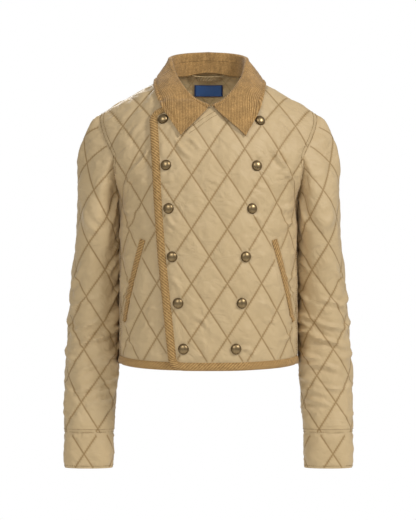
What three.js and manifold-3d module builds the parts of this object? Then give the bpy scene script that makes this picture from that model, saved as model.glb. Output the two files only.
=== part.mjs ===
// A cropped, double-breasted quilted jacket with a corduroy collar, taped edges, two welt pockets
// and twelve domed snaps, filled out as it is when somebody wears it.
// Millimetres, +Z up. X runs to the viewer's right, Y away from the viewer.
// The origin lies in the shoulder ridge's plane, 13 mm under the side of the neck.
//
// Each cloth piece is quilted flat, cut to its outline and wrapped onto the form, as a maker works.
// Flat coordinates are u (across, as seen from outside), v (up) and w (out of the cloth).
import * as THREE from "three";
import { mergeVertices } from "three/addons/utils/BufferGeometryUtils.js";
import Module from "manifold-3d";

const wasm = await Module();
wasm.setup();

// Cloth and quilting
const CLOTH = 2.0; // shell, wadding and lining where they are stitched down
const LOFT = 3.0; // how far the middle of a diamond stands above its stitching
const DIAMOND = { width: 61.5, height: 94.8 };
const PILLOW_POWER = 0.7; // under 1 makes a diamond's pillow fuller towards its stitching
const NODES_PER_DIAMOND = 4;
const SEAM_GAP = 0.3;
// How near an edge the quilting lies flat, and where it is full
const EDGES = {
  taped: { flat: 22, full: 40 },
  sewn: { flat: 5, full: 26 },
  cuff: { flat: 6, full: 22 },
};
const UNDER_TRIM = { flat: 13, full: 30 }; // beneath a snap or a pocket's tape

// Heights on the body's form. A level is a height before the shoulders slope, and v is the cloth's
// length up the front, which runs ahead of the level where the form rounds over to the shoulder.
const UNDERARM = -209;
const SHOULDER = { level: 13, v: 58 };
const HEM = { side: -500, frontCentre: -509, backCentre: -506, power: 2.5 };
const NECK = { halfWidth: 70, frontLevel: -50, backLevel: -8 };
const NECK_RISE = { height: 32, halfWidth: 80, power: 1.35, from: -110, depth: 20 }; // up the nape
const SHOULDER_SLOPE = 0.565;
const SQUARENESS = 2.5; // exponent of the body's oval rings

// Rings of the body: half width, depth to the front and depth to the back
const BODY = [
  { v: -520, level: -520, width: 158, front: 113, back: 102 },
  { v: -420, level: -420, width: 157, front: 117, back: 101 },
  { v: -300, level: -300, width: 157, front: 121, back: 104 },
  { v: -209, level: -209, width: 157, front: 119, back: 110 },
  { v: -174, level: -175, width: 168, front: 115, back: 111 },
  { v: -138, level: -140, width: 180, front: 108, back: 108 },
  { v: -97, level: -100, width: 189, front: 97, back: 101 },
  { v: -53, level: -60, width: 195, front: 79, back: 87 },
  { v: -4, level: -20, width: 199, front: 51, back: 59 },
  { v: 24, level: 0, width: 200, front: 31, back: 35 },
  { v: 35, level: 6, width: 200, front: 22, back: 24.5 },
  { v: 44, level: 10, width: 199, front: 14, back: 15.5 },
  { v: 51, level: 12.2, width: 197, front: 7, back: 7.5 },
  { v: 58, level: 13, width: 193, front: 0.15, back: 0.15 },
];

// Armhole, an egg seen from the side
const ARMHOLE = { front: 56, back: 60, narrowing: 0.6, top: 0.45 };

// The side seam runs this far in front of the body's side from the waist down
const SIDE_SEAM = { shift: 36, from: -330 };

// Sleeve rings, from the cuff's end up: inner and outer side, depth, and the middle's place in Y
const CUFF_END_Z = -689;
const CUFF_HEIGHT = 62;
const SLEEVE = [
  { v: 0, inner: 174, outer: 256, depth: 52, middle: -8 },
  { v: 62, inner: 173, outer: 256.5, depth: 58, middle: -4 },
  { v: 106, inner: 171, outer: 256.5, depth: 70, middle: 5 },
  { v: 189, inner: 167.5, outer: 254.5, depth: 86, middle: 18 },
  { v: 269, inner: 166.5, outer: 249, depth: 100, middle: 24 },
  { v: 349, inner: 166.5, outer: 242, depth: 113, middle: 24 },
  { v: 424, inner: 168.5, outer: 234, depth: 124, middle: 14 },
];
const BICEPS = 424;
const SLEEVE_SQUARENESS = 2.2;
const SLEEVE_GRAIN = 0.25; // the quilting runs straight down the line a quarter round, at the front
// How far the sleeve's edge stands out from the armhole, at the shoulder and in the underarm's
// fold, and the shares of the way round between which it changes
const STAND_OFF = { shoulder: 1.3, underarm: 6, from: 0.12, to: 0.5 };
// How flat the sleeve meets the armhole: least in front and behind, most at shoulder and underarm
const CAP_LEAN = { least: 0.5, more: 0.28 };
const CAP_STEPS = 24;

// Fronts
const FLAP_LIFT = 5.6; // the overlapping front lies this far above the one beneath
const UNDERLAP = 38; // how far the front beneath reaches past the middle
const LIFT = { from: 42, to: 96 }; // across these the overlapping front comes down to the body
// The front beneath lies flat within this reach of the line where the other one covers it
const UNDER_FLAP = { from: [-24, -60], to: [10, -500], flat: 78, full: 98 };
const FLAP_CORNER = { top: 17, bottom: 22 };
const FLAP_TOP = -47;
const FLAP_NECK = 18; // the flap's top begins this far past the middle
const FLAP_SIDE = { top: -95, bottom: -463 }; // its edge between the two corners
const FLAP_EDGE = [
  { z: -52, x: -101 },
  { z: -125, x: -97.5 },
  { z: -210, x: -92 },
  { z: -300, x: -86 },
  { z: -385, x: -78 },
  { z: -509, x: -66 },
];

// Tapes, folded over an edge or laid flat over a pocket's welt
const TAPE = { width: 13, thickness: 1, clearance: 0.7 };
const POCKET = { topX: 114, topZ: -281, bottomX: 147, bottomZ: -425, width: 12, thickness: 1.6 };

// Corduroy collar, from the middle of the back (0) to the front of the neck (1): the fold at its
// top, the leaf's free edge, and how far the leaf reaches down inside, from the roll to the stand.
// Points are for the viewer's right; a shift moves them and their mirror images to the right.
const COLLAR = { leaf: 2.4, stand: 2, roll: 3.2, clearance: 0.9, inset: 2.5, seamGap: 0.9 };
const COLLAR_LINE = [
  { at: 0, fold: [0, 50, 61], foldShift: -1, edge: [0, 80, -4], edgeShift: 0, drop: 12 },
  { at: 0.2, fold: [42, 44, 58], foldShift: -1, edge: [53, 72, -4], edgeShift: 0.5, drop: 12 },
  { at: 0.4, fold: [66, 22, 51], foldShift: -1, edge: [87, 42, -2], edgeShift: 1.5, drop: 12 },
  { at: 0.55, fold: [67.5, -4, 41], foldShift: 0, edge: [97, -2, 1], edgeShift: 2, drop: 10 },
  { at: 0.7, fold: [55, -38, 6], foldShift: 1.5, edge: [94, -46, -26], edgeShift: 3, drop: 4.5 },
  { at: 0.85, fold: [31, -69, -27], foldShift: 2, edge: [82, -80, -57], edgeShift: 6, drop: 2 },
  { at: 1, fold: [5, -88, -45], foldShift: 5, edge: [57, -107, -99], edgeShift: 8.4, drop: 1 },
].map(({ fold, edge, ...row }) => ({
  ...row,
  foldX: fold[0],
  foldY: fold[1],
  foldZ: fold[2],
  edgeX: edge[0],
  edgeY: edge[1],
  edgeZ: edge[2],
}));
const COLLAR_STATIONS = 17; // on each side; the stand ends one short of the leaf's front
// The leaf's fall, as shares of its length: it drops off the roll and swells out a little on its way
const LEAF_FALL = { drop: 0.2, swell: 0.1, arrival: 0.4, arrivalSwell: 0.04, steps: 5 };

// Inside the back of the neck: x of half the width at the top and at the bottom, and the heights
const LOOP = { halfTop: 30, halfBottom: 21, top: 20, bottom: 12.5, thickness: 1.2 };
const LABEL = { halfTop: 26, halfBottom: 26, top: 3.5, bottom: -16.5, thickness: 0.8 };
const INSIDE_GAP = 1.2; // between either and the cloth

// Snaps, by row from the top: height, and x in the column by the free edge and in the inner one
const SNAP = { radius: 9, height: 6.6, rim: 0.8, clearance: 0.7, sides: 12, steps: 3 };
const SNAP_ROWS = [
  { z: -72, edge: -78, inner: 90 },
  { z: -152, edge: -73, inner: 84 },
  { z: -227, edge: -68, inner: 75 },
  { z: -311, edge: -62, inner: 64 },
  { z: -392, edge: -52, inner: 57 },
  { z: -472, edge: -43, inner: 47 },
];

// Where each piece's stitched lines cross
const QUILT_FRONT = { u: 1.5, v: -310.4 };
const QUILT_UNDER = { u: -122, v: -215.6 };
const QUILT_BACK = { u: 0, v: -310.4 };
const QUILT_SLEEVE = { left: 14, right: -14, v: 118 };
const QUILT_CUFF = { left: 6, right: -8, v: 26 };

const clamp = (value, low, high) => Math.min(high, Math.max(low, value));
const mix = (a, b, share) => a + (b - a) * share;
const smooth = (from, to, value) => {
  const share = clamp((value - from) / (to - from), 0, 1);
  return share * share * (3 - 2 * share);
};

// Reads a column of a table whose rows run by key, through a smooth curve
function read(table, column, at, key = "v") {
  const rising = table[0][key] < table.at(-1)[key];
  const rows = rising ? table : [...table].reverse();
  const value = clamp(at, rows[0][key], rows.at(-1)[key]);
  const i = clamp(rows.findIndex((row) => row[key] >= value) - 1, 0, rows.length - 2);
  const slope = (a, b) => (rows[b][column] - rows[a][column]) / (rows[b][key] - rows[a][key]);
  const slopeAt = (k) => slope(Math.max(k - 1, 0), Math.min(k + 1, rows.length - 1));
  const span = rows[i + 1][key] - rows[i][key];
  const t = (value - rows[i][key]) / span;
  const ease = t * t * (3 - 2 * t);
  return (
    mix(rows[i][column], rows[i + 1][column], ease) +
    span * t * (1 - t) * ((1 - t) * slopeAt(i) - t * slopeAt(i + 1))
  );
}

// Half an oval from one end of its depth to the other, with the length along it at each point
const OVAL_STEPS = 128;
function halfOval(width, near, far, squareness) {
  const power = 2 / squareness;
  const points = [];
  let length = 0;
  for (let k = 0; k <= OVAL_STEPS; k++) {
    const angle = (Math.PI * k) / OVAL_STEPS;
    const c = Math.cos(angle);
    const depth = c > 0 ? near : far;
    const x = width * Math.sin(angle) ** power;
    const y = -depth * Math.sign(c) * Math.abs(c) ** power;
    if (k) length += Math.hypot(x - points[k - 1].x, y - points[k - 1].y);
    points.push({ x, y, length });
  }
  return { points, quarter: points[OVAL_STEPS / 2].length, half: length };
}

function alongOval(oval, length) {
  const wanted = clamp(length, 0, oval.half);
  let k = oval.points.findIndex((p) => p.length >= wanted);
  k = Math.max(k, 1);
  const a = oval.points[k - 1];
  const b = oval.points[k];
  const share = (wanted - a.length) / Math.max(b.length - a.length, 1e-9);
  return { x: mix(a.x, b.x, share), y: mix(a.y, b.y, share) };
}

const remembered = (make) => {
  const kept = new Map();
  return (value) => {
    const key = value.toFixed(4);
    if (!kept.has(key)) kept.set(key, make(value));
    return kept.get(key);
  };
};

// The body's form
const bodyRing = remembered((v) =>
  halfOval(read(BODY, "width", v), read(BODY, "front", v), read(BODY, "back", v), SQUARENESS),
);

const shoulderDrop = (x, level) =>
  SHOULDER_SLOPE * Math.max(0, Math.abs(x) - NECK.halfWidth) * smooth(UNDERARM, SHOULDER.level, level);

const neckRise = (x, level) =>
  NECK_RISE.height *
  Math.max(0, 1 - (x / NECK_RISE.halfWidth) ** 2) ** NECK_RISE.power *
  smooth(NECK_RISE.from, NECK.backLevel, level);

// A point of the body's form: u is the length along the ring from the middle of the front or back
function bodyPoint(face, u, v) {
  const ring = bodyRing(v);
  const level = v < UNDERARM ? v : read(BODY, "level", v);
  const { x, y } = alongOval(ring, face === "front" ? Math.abs(u) : ring.half - Math.abs(u));
  const side = face === "front" ? Math.sign(u) : -Math.sign(u);
  const rise = y > 0 ? neckRise(x, level) * smooth(0, NECK_RISE.depth, y) : 0;
  return new THREE.Vector3(side * x, y, level - shoulderDrop(x, level) + rise);
}

// The cloth's length up to a level
function clothUpTo(level) {
  let low = HEM.side - 30;
  let high = SHOULDER.v;
  for (let k = 0; k < 40; k++) {
    const middle = (low + high) / 2;
    if (read(BODY, "level", middle) < level) low = middle;
    else high = middle;
  }
  return (low + high) / 2;
}

// The length along the ring to where it has a given x on its front or back
function reach(face, x, v) {
  const { points, half } = bodyRing(v);
  const middle = OVAL_STEPS / 2;
  const row = face === "front" ? points.slice(0, middle + 1) : points.slice(middle).reverse();
  const k = clamp(row.findIndex((p) => p.x >= Math.abs(x)), 1, row.length - 1);
  const share = clamp((Math.abs(x) - row[k - 1].x) / (row[k].x - row[k - 1].x), 0, 1);
  const length = mix(row[k - 1].length, row[k].length, share);
  return Math.sign(x) * (face === "front" ? length : half - length);
}

// The flat place of a point of the front or back with a given x and height
function spot(face, x, z) {
  let level = z;
  for (let k = 0; k < 30; k++) {
    const rise = face === "back" ? neckRise(x, level) : 0;
    level = mix(level, Math.min(z + shoulderDrop(x, level) - rise, SHOULDER.level), 0.7);
  }
  const v = clothUpTo(level);
  return { u: (face === "front" ? 1 : -1) * reach(face, x, v), v };
}
const frontSpot = (x, z) => spot("front", x, z);

// The point and outward normal of a surface, for wrapping cloth onto it
const NORMAL_STEP = 0.5;
function wrap(surface, u, v, w) {
  const across = surface(u + NORMAL_STEP, v).sub(surface(u - NORMAL_STEP, v));
  const up = surface(u, v + NORMAL_STEP).sub(surface(u, v - 2 * NORMAL_STEP));
  return surface(u, v).addScaledVector(across.cross(up).normalize(), w);
}

const frontSurface = (u, v) => bodyPoint("front", u, Math.min(v, SHOULDER.v));
const backSurface = (u, v) => bodyPoint("back", u, Math.min(v, SHOULDER.v));

// Armhole at an angle from the shoulder (0) to the underarm (180 degrees)
function armholeFlat(face, angle) {
  const c = Math.cos(angle);
  const v = clothUpTo(mix(UNDERARM, SHOULDER.level, (1 + c) / 2));
  if (angle < ARMHOLE.top) {
    const tip = bodyRing(SHOULDER.v);
    const tipU = face === "front" ? tip.quarter : tip.half - tip.quarter;
    return { u: mix(tipU, armholeFlat(face, ARMHOLE.top).u, angle / ARMHOLE.top), v };
  }
  const depth = ARMHOLE[face] * Math.sin(angle) * (1 - ARMHOLE.narrowing * Math.max(0, c + 0.1));
  const { points, half } = bodyRing(v);
  const middle = OVAL_STEPS / 2;
  const row = face === "front" ? points.slice(0, middle + 1) : points.slice(middle).reverse();
  const k = clamp(row.findIndex((p) => Math.abs(p.y) <= depth + 1e-6), 1, row.length - 1);
  const a = row[k - 1];
  const b = row[k];
  const share = clamp((Math.abs(a.y) - depth) / Math.max(Math.abs(a.y) - Math.abs(b.y), 1e-9), 0, 1);
  const length = mix(a.length, b.length, share);
  return { u: face === "front" ? length : half - length, v };
}

// The armhole's edge by share of its length: 0 at the shoulder, 0.5 at the underarm by way of the
// front, -0.5 by way of the back
const ARMHOLE_STEPS = 60;
function armholeEdge(face) {
  const points = [];
  for (let k = 0; k <= ARMHOLE_STEPS; k++) {
    const { u, v } = armholeFlat(face, (Math.PI * k) / ARMHOLE_STEPS);
    points.push(bodyPoint(face, face === "front" ? u : -u, v));
  }
  return new THREE.CatmullRomCurve3(points);
}
const armholeEdges = { front: armholeEdge("front"), back: armholeEdge("back") };
Object.values(armholeEdges).forEach((edge) => (edge.arcLengthDivisions = 240));

// Sleeve's form, for the viewer's right side; the left one is its mirror image
const sleeveRing = remembered((level) => {
  const inner = read(SLEEVE, "inner", level);
  const outer = read(SLEEVE, "outer", level);
  const depth = read(SLEEVE, "depth", level) / 2;
  const oval = halfOval(depth, (outer - inner) / 2, (outer - inner) / 2, SLEEVE_SQUARENESS);
  return { oval, centre: (inner + outer) / 2, middle: read(SLEEVE, "middle", level), girth: 2 * oval.half };
});

// Share runs from -0.5 (underarm by the back) through 0 (outer side) to 0.5 (underarm by the front)
function sleeveRingPoint(level, share) {
  const ring = sleeveRing(level);
  const { x, y } = alongOval(ring.oval, Math.abs(share) * ring.girth);
  return new THREE.Vector3(ring.centre - y, ring.middle - Math.sign(share) * x, CUFF_END_Z + level);
}

// The cap's line from the biceps up to the armhole, at one share of the way round
const capLine = remembered((share) => {
  const start = sleeveRingPoint(BICEPS, share);
  const rising = start.clone().sub(sleeveRingPoint(BICEPS - 10, share)).normalize();
  const edge = share < 0 ? armholeEdges.back : armholeEdges.front;
  const end = edge.getPointAt(clamp(Math.abs(share) * 2, 0, 1));
  const folded = smooth(STAND_OFF.from, STAND_OFF.to, Math.abs(share));
  end.x += mix(STAND_OFF.shoulder, STAND_OFF.underarm, folded);
  const lean = CAP_LEAN.least + CAP_LEAN.more * Math.cos(2 * Math.PI * share) ** 2;
  const arriving = new THREE.Vector3(-lean, 0, Math.sqrt(1 - lean * lean));
  const pull = start.distanceTo(end);
  const at = (t) =>
    new THREE.Vector3()
      .addScaledVector(start, (1 + 2 * t) * (1 - t) ** 2)
      .addScaledVector(rising, pull * t * (1 - t) ** 2)
      .addScaledVector(end, t * t * (3 - 2 * t))
      .addScaledVector(arriving, pull * t * t * (t - 1));
  let length = 0;
  for (let k = 1; k <= CAP_STEPS; k++) {
    length += at(k / CAP_STEPS).distanceTo(at((k - 1) / CAP_STEPS));
  }
  return { at, length };
});

// A point of a sleeve: side is 1 for the viewer's right, u runs from the line at the front
function sleevePoint(side, u, v) {
  const girth = sleeveRing(Math.min(v, BICEPS)).girth;
  const share = clamp(SLEEVE_GRAIN - (side * u) / girth, -0.5, 0.5);
  const line = v > BICEPS ? capLine(share) : null;
  const point = line ? line.at((v - BICEPS) / line.length) : sleeveRingPoint(v, share);
  point.x *= side;
  return point;
}

// Flat outlines, as lists of [u, v] that run anticlockwise
const LINE_STEP = 22;
const HEM_STEP = 18;
const FLAP_TOP_STEP = 11;
const CORNER_STEP = 18; // degrees
function line(from, to, step, at) {
  const count = Math.max(1, Math.round(Math.abs(to - from) / step));
  return Array.from({ length: count + 1 }, (_, k) => at(mix(from, to, k / count)));
}

const sideShift = (level) => SIDE_SEAM.shift * (1 - smooth(SIDE_SEAM.from, UNDERARM, level));
const sideSeam = (face, level) => {
  const { quarter, half } = bodyRing(level);
  return face === "front" ? quarter - sideShift(level) : half - quarter + sideShift(level);
};
const hemLevel = (face, u) => {
  const share = clamp(Math.abs(u) / sideSeam(face, HEM.side), 0, 1);
  return mix(face === "front" ? HEM.frontCentre : HEM.backCentre, HEM.side, share ** HEM.power);
};
const SHOULDER_SEAM = SHOULDER.v - SEAM_GAP;
const armholeLine = (face) =>
  line(Math.PI, 0, Math.PI / 15, (angle) => {
    const { u, v } = armholeFlat(face, angle);
    return [u - SEAM_GAP / 2, Math.min(v, SHOULDER_SEAM)];
  });
const neckLevel = (face, x) => {
  const share = clamp(Math.abs(x) / NECK.halfWidth, 0, 1);
  const drop = SHOULDER.level - (face === "front" ? NECK.frontLevel : NECK.backLevel);
  return SHOULDER.level - drop * (face === "front" ? Math.sqrt(1 - share ** 2) : 1 - share ** 3);
};
const neckLine = (face, fromAngle, toAngle) =>
  line(fromAngle, toAngle, Math.PI / 14, (angle) => {
    const x = NECK.halfWidth * Math.cos(angle);
    const v = Math.min(clothUpTo(neckLevel(face, x)), SHOULDER_SEAM);
    return [reach(face, x, v), v];
  });
// Side seam, armhole and shoulder of one half, from the hem up to the neck
const sideAndShoulder = (face) => [
  ...line(HEM.side, UNDERARM, LINE_STEP, (v) => [sideSeam(face, v) - SEAM_GAP / 2, v]).slice(0, -1),
  ...armholeLine(face),
];
const mirrored = (points) => points.map(([u, v]) => [-u, v]).reverse();
// A quarter turn about a centre, from one angle to another, in degrees
const corner = (u, v, radius, from, to) =>
  line(from, to, CORNER_STEP, (degrees) => {
    const angle = THREE.MathUtils.degToRad(degrees);
    return [u + radius * Math.cos(angle), v + radius * Math.sin(angle)];
  });

const flapEdge = (z) => frontSpot(read(FLAP_EDGE, "x", z, "z"), z);
const flapTop = clothUpTo(FLAP_TOP);
const flapHemLevel = hemLevel("front", flapEdge(HEM.side).u);
const topCorner = {
  u: flapEdge(FLAP_TOP - FLAP_CORNER.top).u + FLAP_CORNER.top,
  v: flapTop - FLAP_CORNER.top,
};
const bottomCorner = {
  u: flapEdge(HEM.frontCentre + FLAP_CORNER.bottom).u + FLAP_CORNER.bottom,
  v: flapHemLevel + FLAP_CORNER.bottom,
};
// The overlapping front's free edge from under the collar, round both corners, to the hem
const flapLine = [
  ...line(-FLAP_NECK, topCorner.u, FLAP_TOP_STEP, (u) => [u, flapTop]).slice(0, -1),
  ...corner(topCorner.u, topCorner.v, FLAP_CORNER.top, 90, 180),
  ...line(FLAP_SIDE.top, FLAP_SIDE.bottom, LINE_STEP, (z) => [flapEdge(z).u, flapEdge(z).v]),
  ...corner(bottomCorner.u, bottomCorner.v, FLAP_CORNER.bottom, 180, 270),
];
const hemLine = (face, from, to) => line(from, to, HEM_STEP, (u) => [u, hemLevel(face, u)]);
const frontHemEnd = sideSeam("front", HEM.side) - SEAM_GAP / 2;
const backHemEnd = sideSeam("back", HEM.side) - SEAM_GAP / 2;
const flapHem = hemLine("front", flapLine.at(-1)[0] + 12, frontHemEnd);
const underHem = hemLine("front", -frontHemEnd, UNDERLAP);
const backHem = hemLine("back", -backHemEnd, backHemEnd);

const frontLeftOutline = [
  ...flapHem.slice(0, -1),
  ...sideAndShoulder("front"),
  ...neckLine("front", 0, Math.PI / 2 - 0.1),
  ...flapLine,
];
const frontRightOutline = [
  ...underHem.slice(1),
  [UNDERLAP, clothUpTo(NECK.frontLevel) - 0.5],
  ...neckLine("front", Math.PI / 2 + 0.02, Math.PI),
  ...mirrored(sideAndShoulder("front")),
];
const backOutline = [
  ...backHem.slice(1, -1),
  ...sideAndShoulder("back"),
  ...neckLine("back", 0, Math.PI),
  ...mirrored(sideAndShoulder("back")),
];

// A sleeve's two edges nearly meet along its seam, at these shares of the way round
const SHARE_LIMIT = 0.4995;
const shareAcross = (side, share, level) =>
  side * (SLEEVE_GRAIN - share) * sleeveRing(level).girth;
function sleeveOutline(side) {
  const ends = side > 0 ? [SHARE_LIMIT, -SHARE_LIMIT] : [-SHARE_LIMIT, SHARE_LIMIT];
  const start = CUFF_HEIGHT + SEAM_GAP;
  const underarm = BICEPS + capLine(SHARE_LIMIT).length - SEAM_GAP;
  const edge = (share) => (v) => [shareAcross(side, share, Math.min(v, BICEPS)), v];
  return [
    ...line(start, underarm, LINE_STEP, edge(ends[1])),
    ...line(ends[1], ends[0], 1 / 30, (share) => [
      shareAcross(side, share, BICEPS),
      BICEPS + capLine(share).length - SEAM_GAP,
    ]).slice(1, -1),
    ...line(underarm, start, LINE_STEP, edge(ends[0])),
  ];
}
function cuffOutline(side) {
  const ends = side > 0 ? [SHARE_LIMIT, -SHARE_LIMIT] : [-SHARE_LIMIT, SHARE_LIMIT];
  const edge = (share) => (v) => [shareAcross(side, share, v), v];
  return [
    ...line(0, CUFF_HEIGHT, CUFF_HEIGHT / 2, edge(ends[1])),
    ...line(CUFF_HEIGHT, 0, CUFF_HEIGHT / 2, edge(ends[0])),
  ];
}

function distanceToLine(u, v, [u1, v1], [u2, v2]) {
  const squared = (u2 - u1) ** 2 + (v2 - v1) ** 2;
  const along = (u - u1) * (u2 - u1) + (v - v1) * (v2 - v1);
  const share = squared ? clamp(along / squared, 0, 1) : 0;
  return Math.hypot(u - mix(u1, u2, share), v - mix(v1, v2, share));
}

// How far a point lies inside an outline, or 0 outside it
function depthInside(outline, u, v) {
  let inside = false;
  let nearest = Infinity;
  outline.forEach(([u1, v1], k) => {
    const [u2, v2] = outline[(k + 1) % outline.length];
    if (v1 > v !== v2 > v && u < u1 + ((v - v1) / (v2 - v1)) * (u2 - u1)) inside = !inside;
    nearest = Math.min(nearest, distanceToLine(u, v, [u1, v1], [u2, v2]));
  });
  return inside ? nearest : 0;
}

// The wadding's height over its stitching: highest in a diamond's middle, none on its lines
function quiltHeight(phase, u, v) {
  const across = (u - phase.u) / DIAMOND.width;
  const up = (v - phase.v) / DIAMOND.height;
  const share = Math.abs(Math.sin(Math.PI * (across + up)) * Math.sin(Math.PI * (across - up)));
  return LOFT * share ** PILLOW_POWER;
}

// A closed mesh as a solid, and a solid as geometry with each vertex put in its place
function solidFrom(geometry) {
  const bare = geometry.clone();
  bare.deleteAttribute("normal");
  bare.deleteAttribute("uv");
  const merged = mergeVertices(bare.index ? bare.toNonIndexed() : bare, 1e-4);
  return new wasm.Manifold(
    new wasm.Mesh({
      numProp: 3,
      vertProperties: new Float32Array(merged.attributes.position.array),
      triVerts: new Uint32Array(merged.index.array),
    }),
  );
}

function placedGeometry(solid, place) {
  const { vertProperties, triVerts, numProp, numVert } = solid.getMesh();
  const positions = new Float32Array(numVert * 3);
  for (let k = 0; k < numVert; k++) {
    const [u, v, w] = vertProperties.subarray(k * numProp, k * numProp + 3);
    place(u, v, w).toArray(positions, k * 3);
  }
  return meshGeometry(positions, triVerts);
}

function meshGeometry(positions, indices) {
  const geometry = new THREE.BufferGeometry();
  geometry.setAttribute("position", new THREE.BufferAttribute(new Float32Array(positions), 3));
  geometry.setIndex([...indices]);
  geometry.computeVertexNormals();
  return geometry;
}

// A slab is bowed while it is cut, so that its straight edges keep the points that wrapping bends
const BOW = 1e-4;
const bow = (u, v) => BOW * (u * u + v * v);

// A flat slab of quilted cloth whose mesh follows the stitched diamonds
function quiltedSlab(outline, phase, heightAt) {
  const stepU = DIAMOND.width / NODES_PER_DIAMOND;
  const stepV = DIAMOND.height / NODES_PER_DIAMOND;
  const is = outline.map(([u]) => (u - phase.u) / stepU);
  const js = outline.map(([, v]) => (v - phase.v) / stepV);
  const first = { i: Math.floor(Math.min(...is)) - 1, j: Math.floor(Math.min(...js)) - 1 };
  const last = { i: Math.ceil(Math.max(...is)) + 1, j: Math.ceil(Math.max(...js)) + 1 };
  const columns = last.i - first.i + 1;
  const rows = last.j - first.j + 1;
  const positions = [];
  for (const raised of [true, false])
    for (let j = first.j; j <= last.j; j++)
      for (let i = first.i; i <= last.i; i++) {
        const u = phase.u + i * stepU;
        const v = phase.v + j * stepV;
        positions.push(u, v, bow(u, v) + (raised ? CLOTH + heightAt(u, v) : 0));
      }
  const top = (i, j) => (j - first.j) * columns + (i - first.i);
  const under = (i, j) => top(i, j) + columns * rows;
  const indices = [];
  const remainder = (value) => ((value % NODES_PER_DIAMOND) + NODES_PER_DIAMOND) % NODES_PER_DIAMOND;
  for (let j = first.j; j < last.j; j++)
    for (let i = first.i; i < last.i; i++) {
      // A cell is split along the stitching that crosses it, or else away from the diamond's middle
      const falling = remainder(i + j + 1) === 0 || remainder(i - j) === 2;
      const ring = falling
        ? [[i, j], [i + 1, j], [i, j + 1], [i + 1, j], [i + 1, j + 1], [i, j + 1]]
        : [[i, j], [i + 1, j], [i + 1, j + 1], [i, j], [i + 1, j + 1], [i, j + 1]];
      ring.forEach(([a, b]) => indices.push(top(a, b)));
      [...ring].reverse().forEach(([a, b]) => indices.push(under(a, b)));
    }
  const wall = (a, b) => {
    indices.push(under(...a), under(...b), top(...b));
    indices.push(under(...a), top(...b), top(...a));
  };
  for (let i = first.i; i < last.i; i++) {
    wall([i, first.j], [i + 1, first.j]);
    wall([i + 1, last.j], [i, last.j]);
  }
  for (let j = first.j; j < last.j; j++) {
    wall([last.i, j], [last.i, j + 1]);
    wall([first.i, j + 1], [first.i, j]);
  }
  return solidFrom(meshGeometry(positions, indices));
}

// Cuts a piece of quilted cloth to its outline and wraps it. Pressed spots lie flat: each is
// { from: [u, v], to: [u, v], flat, full }, with no height nearer than flat and all of it past full.
function quiltedPiece(outline, phase, edges, pressed, place) {
  const heightAt = (u, v) => {
    const spots = pressed.map(({ from, to, flat, full }) =>
      smooth(flat, full, distanceToLine(u, v, from, to)),
    );
    const fromEdge = smooth(edges.flat, edges.full, depthInside(outline, u, v));
    return quiltHeight(phase, u, v) * fromEdge * Math.min(1, ...spots);
  };
  const shape = new THREE.Shape(outline.map(([u, v]) => new THREE.Vector2(u, v)));
  const reachUp = Math.max(...outline.map(([u, v]) => bow(u, v))) + 4 * CLOTH;
  const cutter = new THREE.ExtrudeGeometry(shape, { depth: reachUp + CLOTH, bevelEnabled: false });
  cutter.translate(0, 0, -CLOTH);
  const cut = quiltedSlab(outline, phase, heightAt).intersect(solidFrom(cutter));
  return placedGeometry(cut, (u, v, w) => place(u, v, w - bow(u, v)));
}

// A closed solid through equal rings of points, each end closed by the same flat triangles
function loftGeometry(rings, capTriangles) {
  const size = rings[0].length;
  const positions = rings.flat().flatMap((p) => p.toArray());
  const indices = [];
  rings.slice(1).forEach((_, k) => {
    for (let i = 0; i < size; i++) {
      const a = k * size + i;
      const b = k * size + ((i + 1) % size);
      indices.push(a, b, b + size, a, b + size, a + size);
    }
  });
  const last = (rings.length - 1) * size;
  capTriangles.forEach(([a, b, c]) => indices.push(c, b, a, a + last, b + last, c + last));
  return meshGeometry(positions, indices);
}

// Tape folded over an edge: path is a line of [u, v] with the cloth on its left
function foldedTape(path, place) {
  const { width, thickness, clearance } = TAPE;
  const outside = -clearance - thickness;
  const section = [
    [outside, -clearance - thickness],
    [width, -clearance - thickness],
    [width, -clearance],
    [-clearance, -clearance],
    [-clearance, CLOTH + clearance],
    [width, CLOTH + clearance],
    [width, CLOTH + clearance + thickness],
    [outside, CLOTH + clearance + thickness],
  ];
  const caps = THREE.ShapeUtils.triangulateShape(section.map(([a, b]) => new THREE.Vector2(a, b)), []);
  const rings = path.map(([u, v], k) => {
    const [u1, v1] = path[Math.max(k - 1, 0)];
    const [u2, v2] = path[Math.min(k + 1, path.length - 1)];
    const length = Math.hypot(u2 - u1, v2 - v1);
    const inward = [-(v2 - v1) / length, (u2 - u1) / length];
    return section.map(([inset, w]) => place(u + inward[0] * inset, v + inward[1] * inset, w));
  });
  return loftGeometry(rings, caps);
}

// A wall through a grid of points, half its thickness to each side
function wallGeometry(grid, thickness) {
  const rows = grid.length;
  const columns = grid[0].length;
  const at = (i, j) => grid[clamp(i, 0, rows - 1)][clamp(j, 0, columns - 1)];
  const moved = (i, j, distance) => {
    const along = at(i + 1, j).clone().sub(at(i - 1, j));
    const across = at(i, j + 1).clone().sub(at(i, j - 1));
    return at(i, j).clone().addScaledVector(along.cross(across).normalize(), distance);
  };
  const rings = grid.map((row, i) => [
    ...row.map((_, j) => moved(i, j, -thickness / 2)),
    ...row.map((_, j) => moved(i, columns - 1 - j, thickness / 2)),
  ]);
  const caps = [];
  for (let j = 0; j < columns - 1; j++) {
    const far = 2 * columns - 1 - j;
    caps.push([j, j + 1, far], [j + 1, far - 1, far]);
  }
  return loftGeometry(rings, caps);
}

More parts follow.
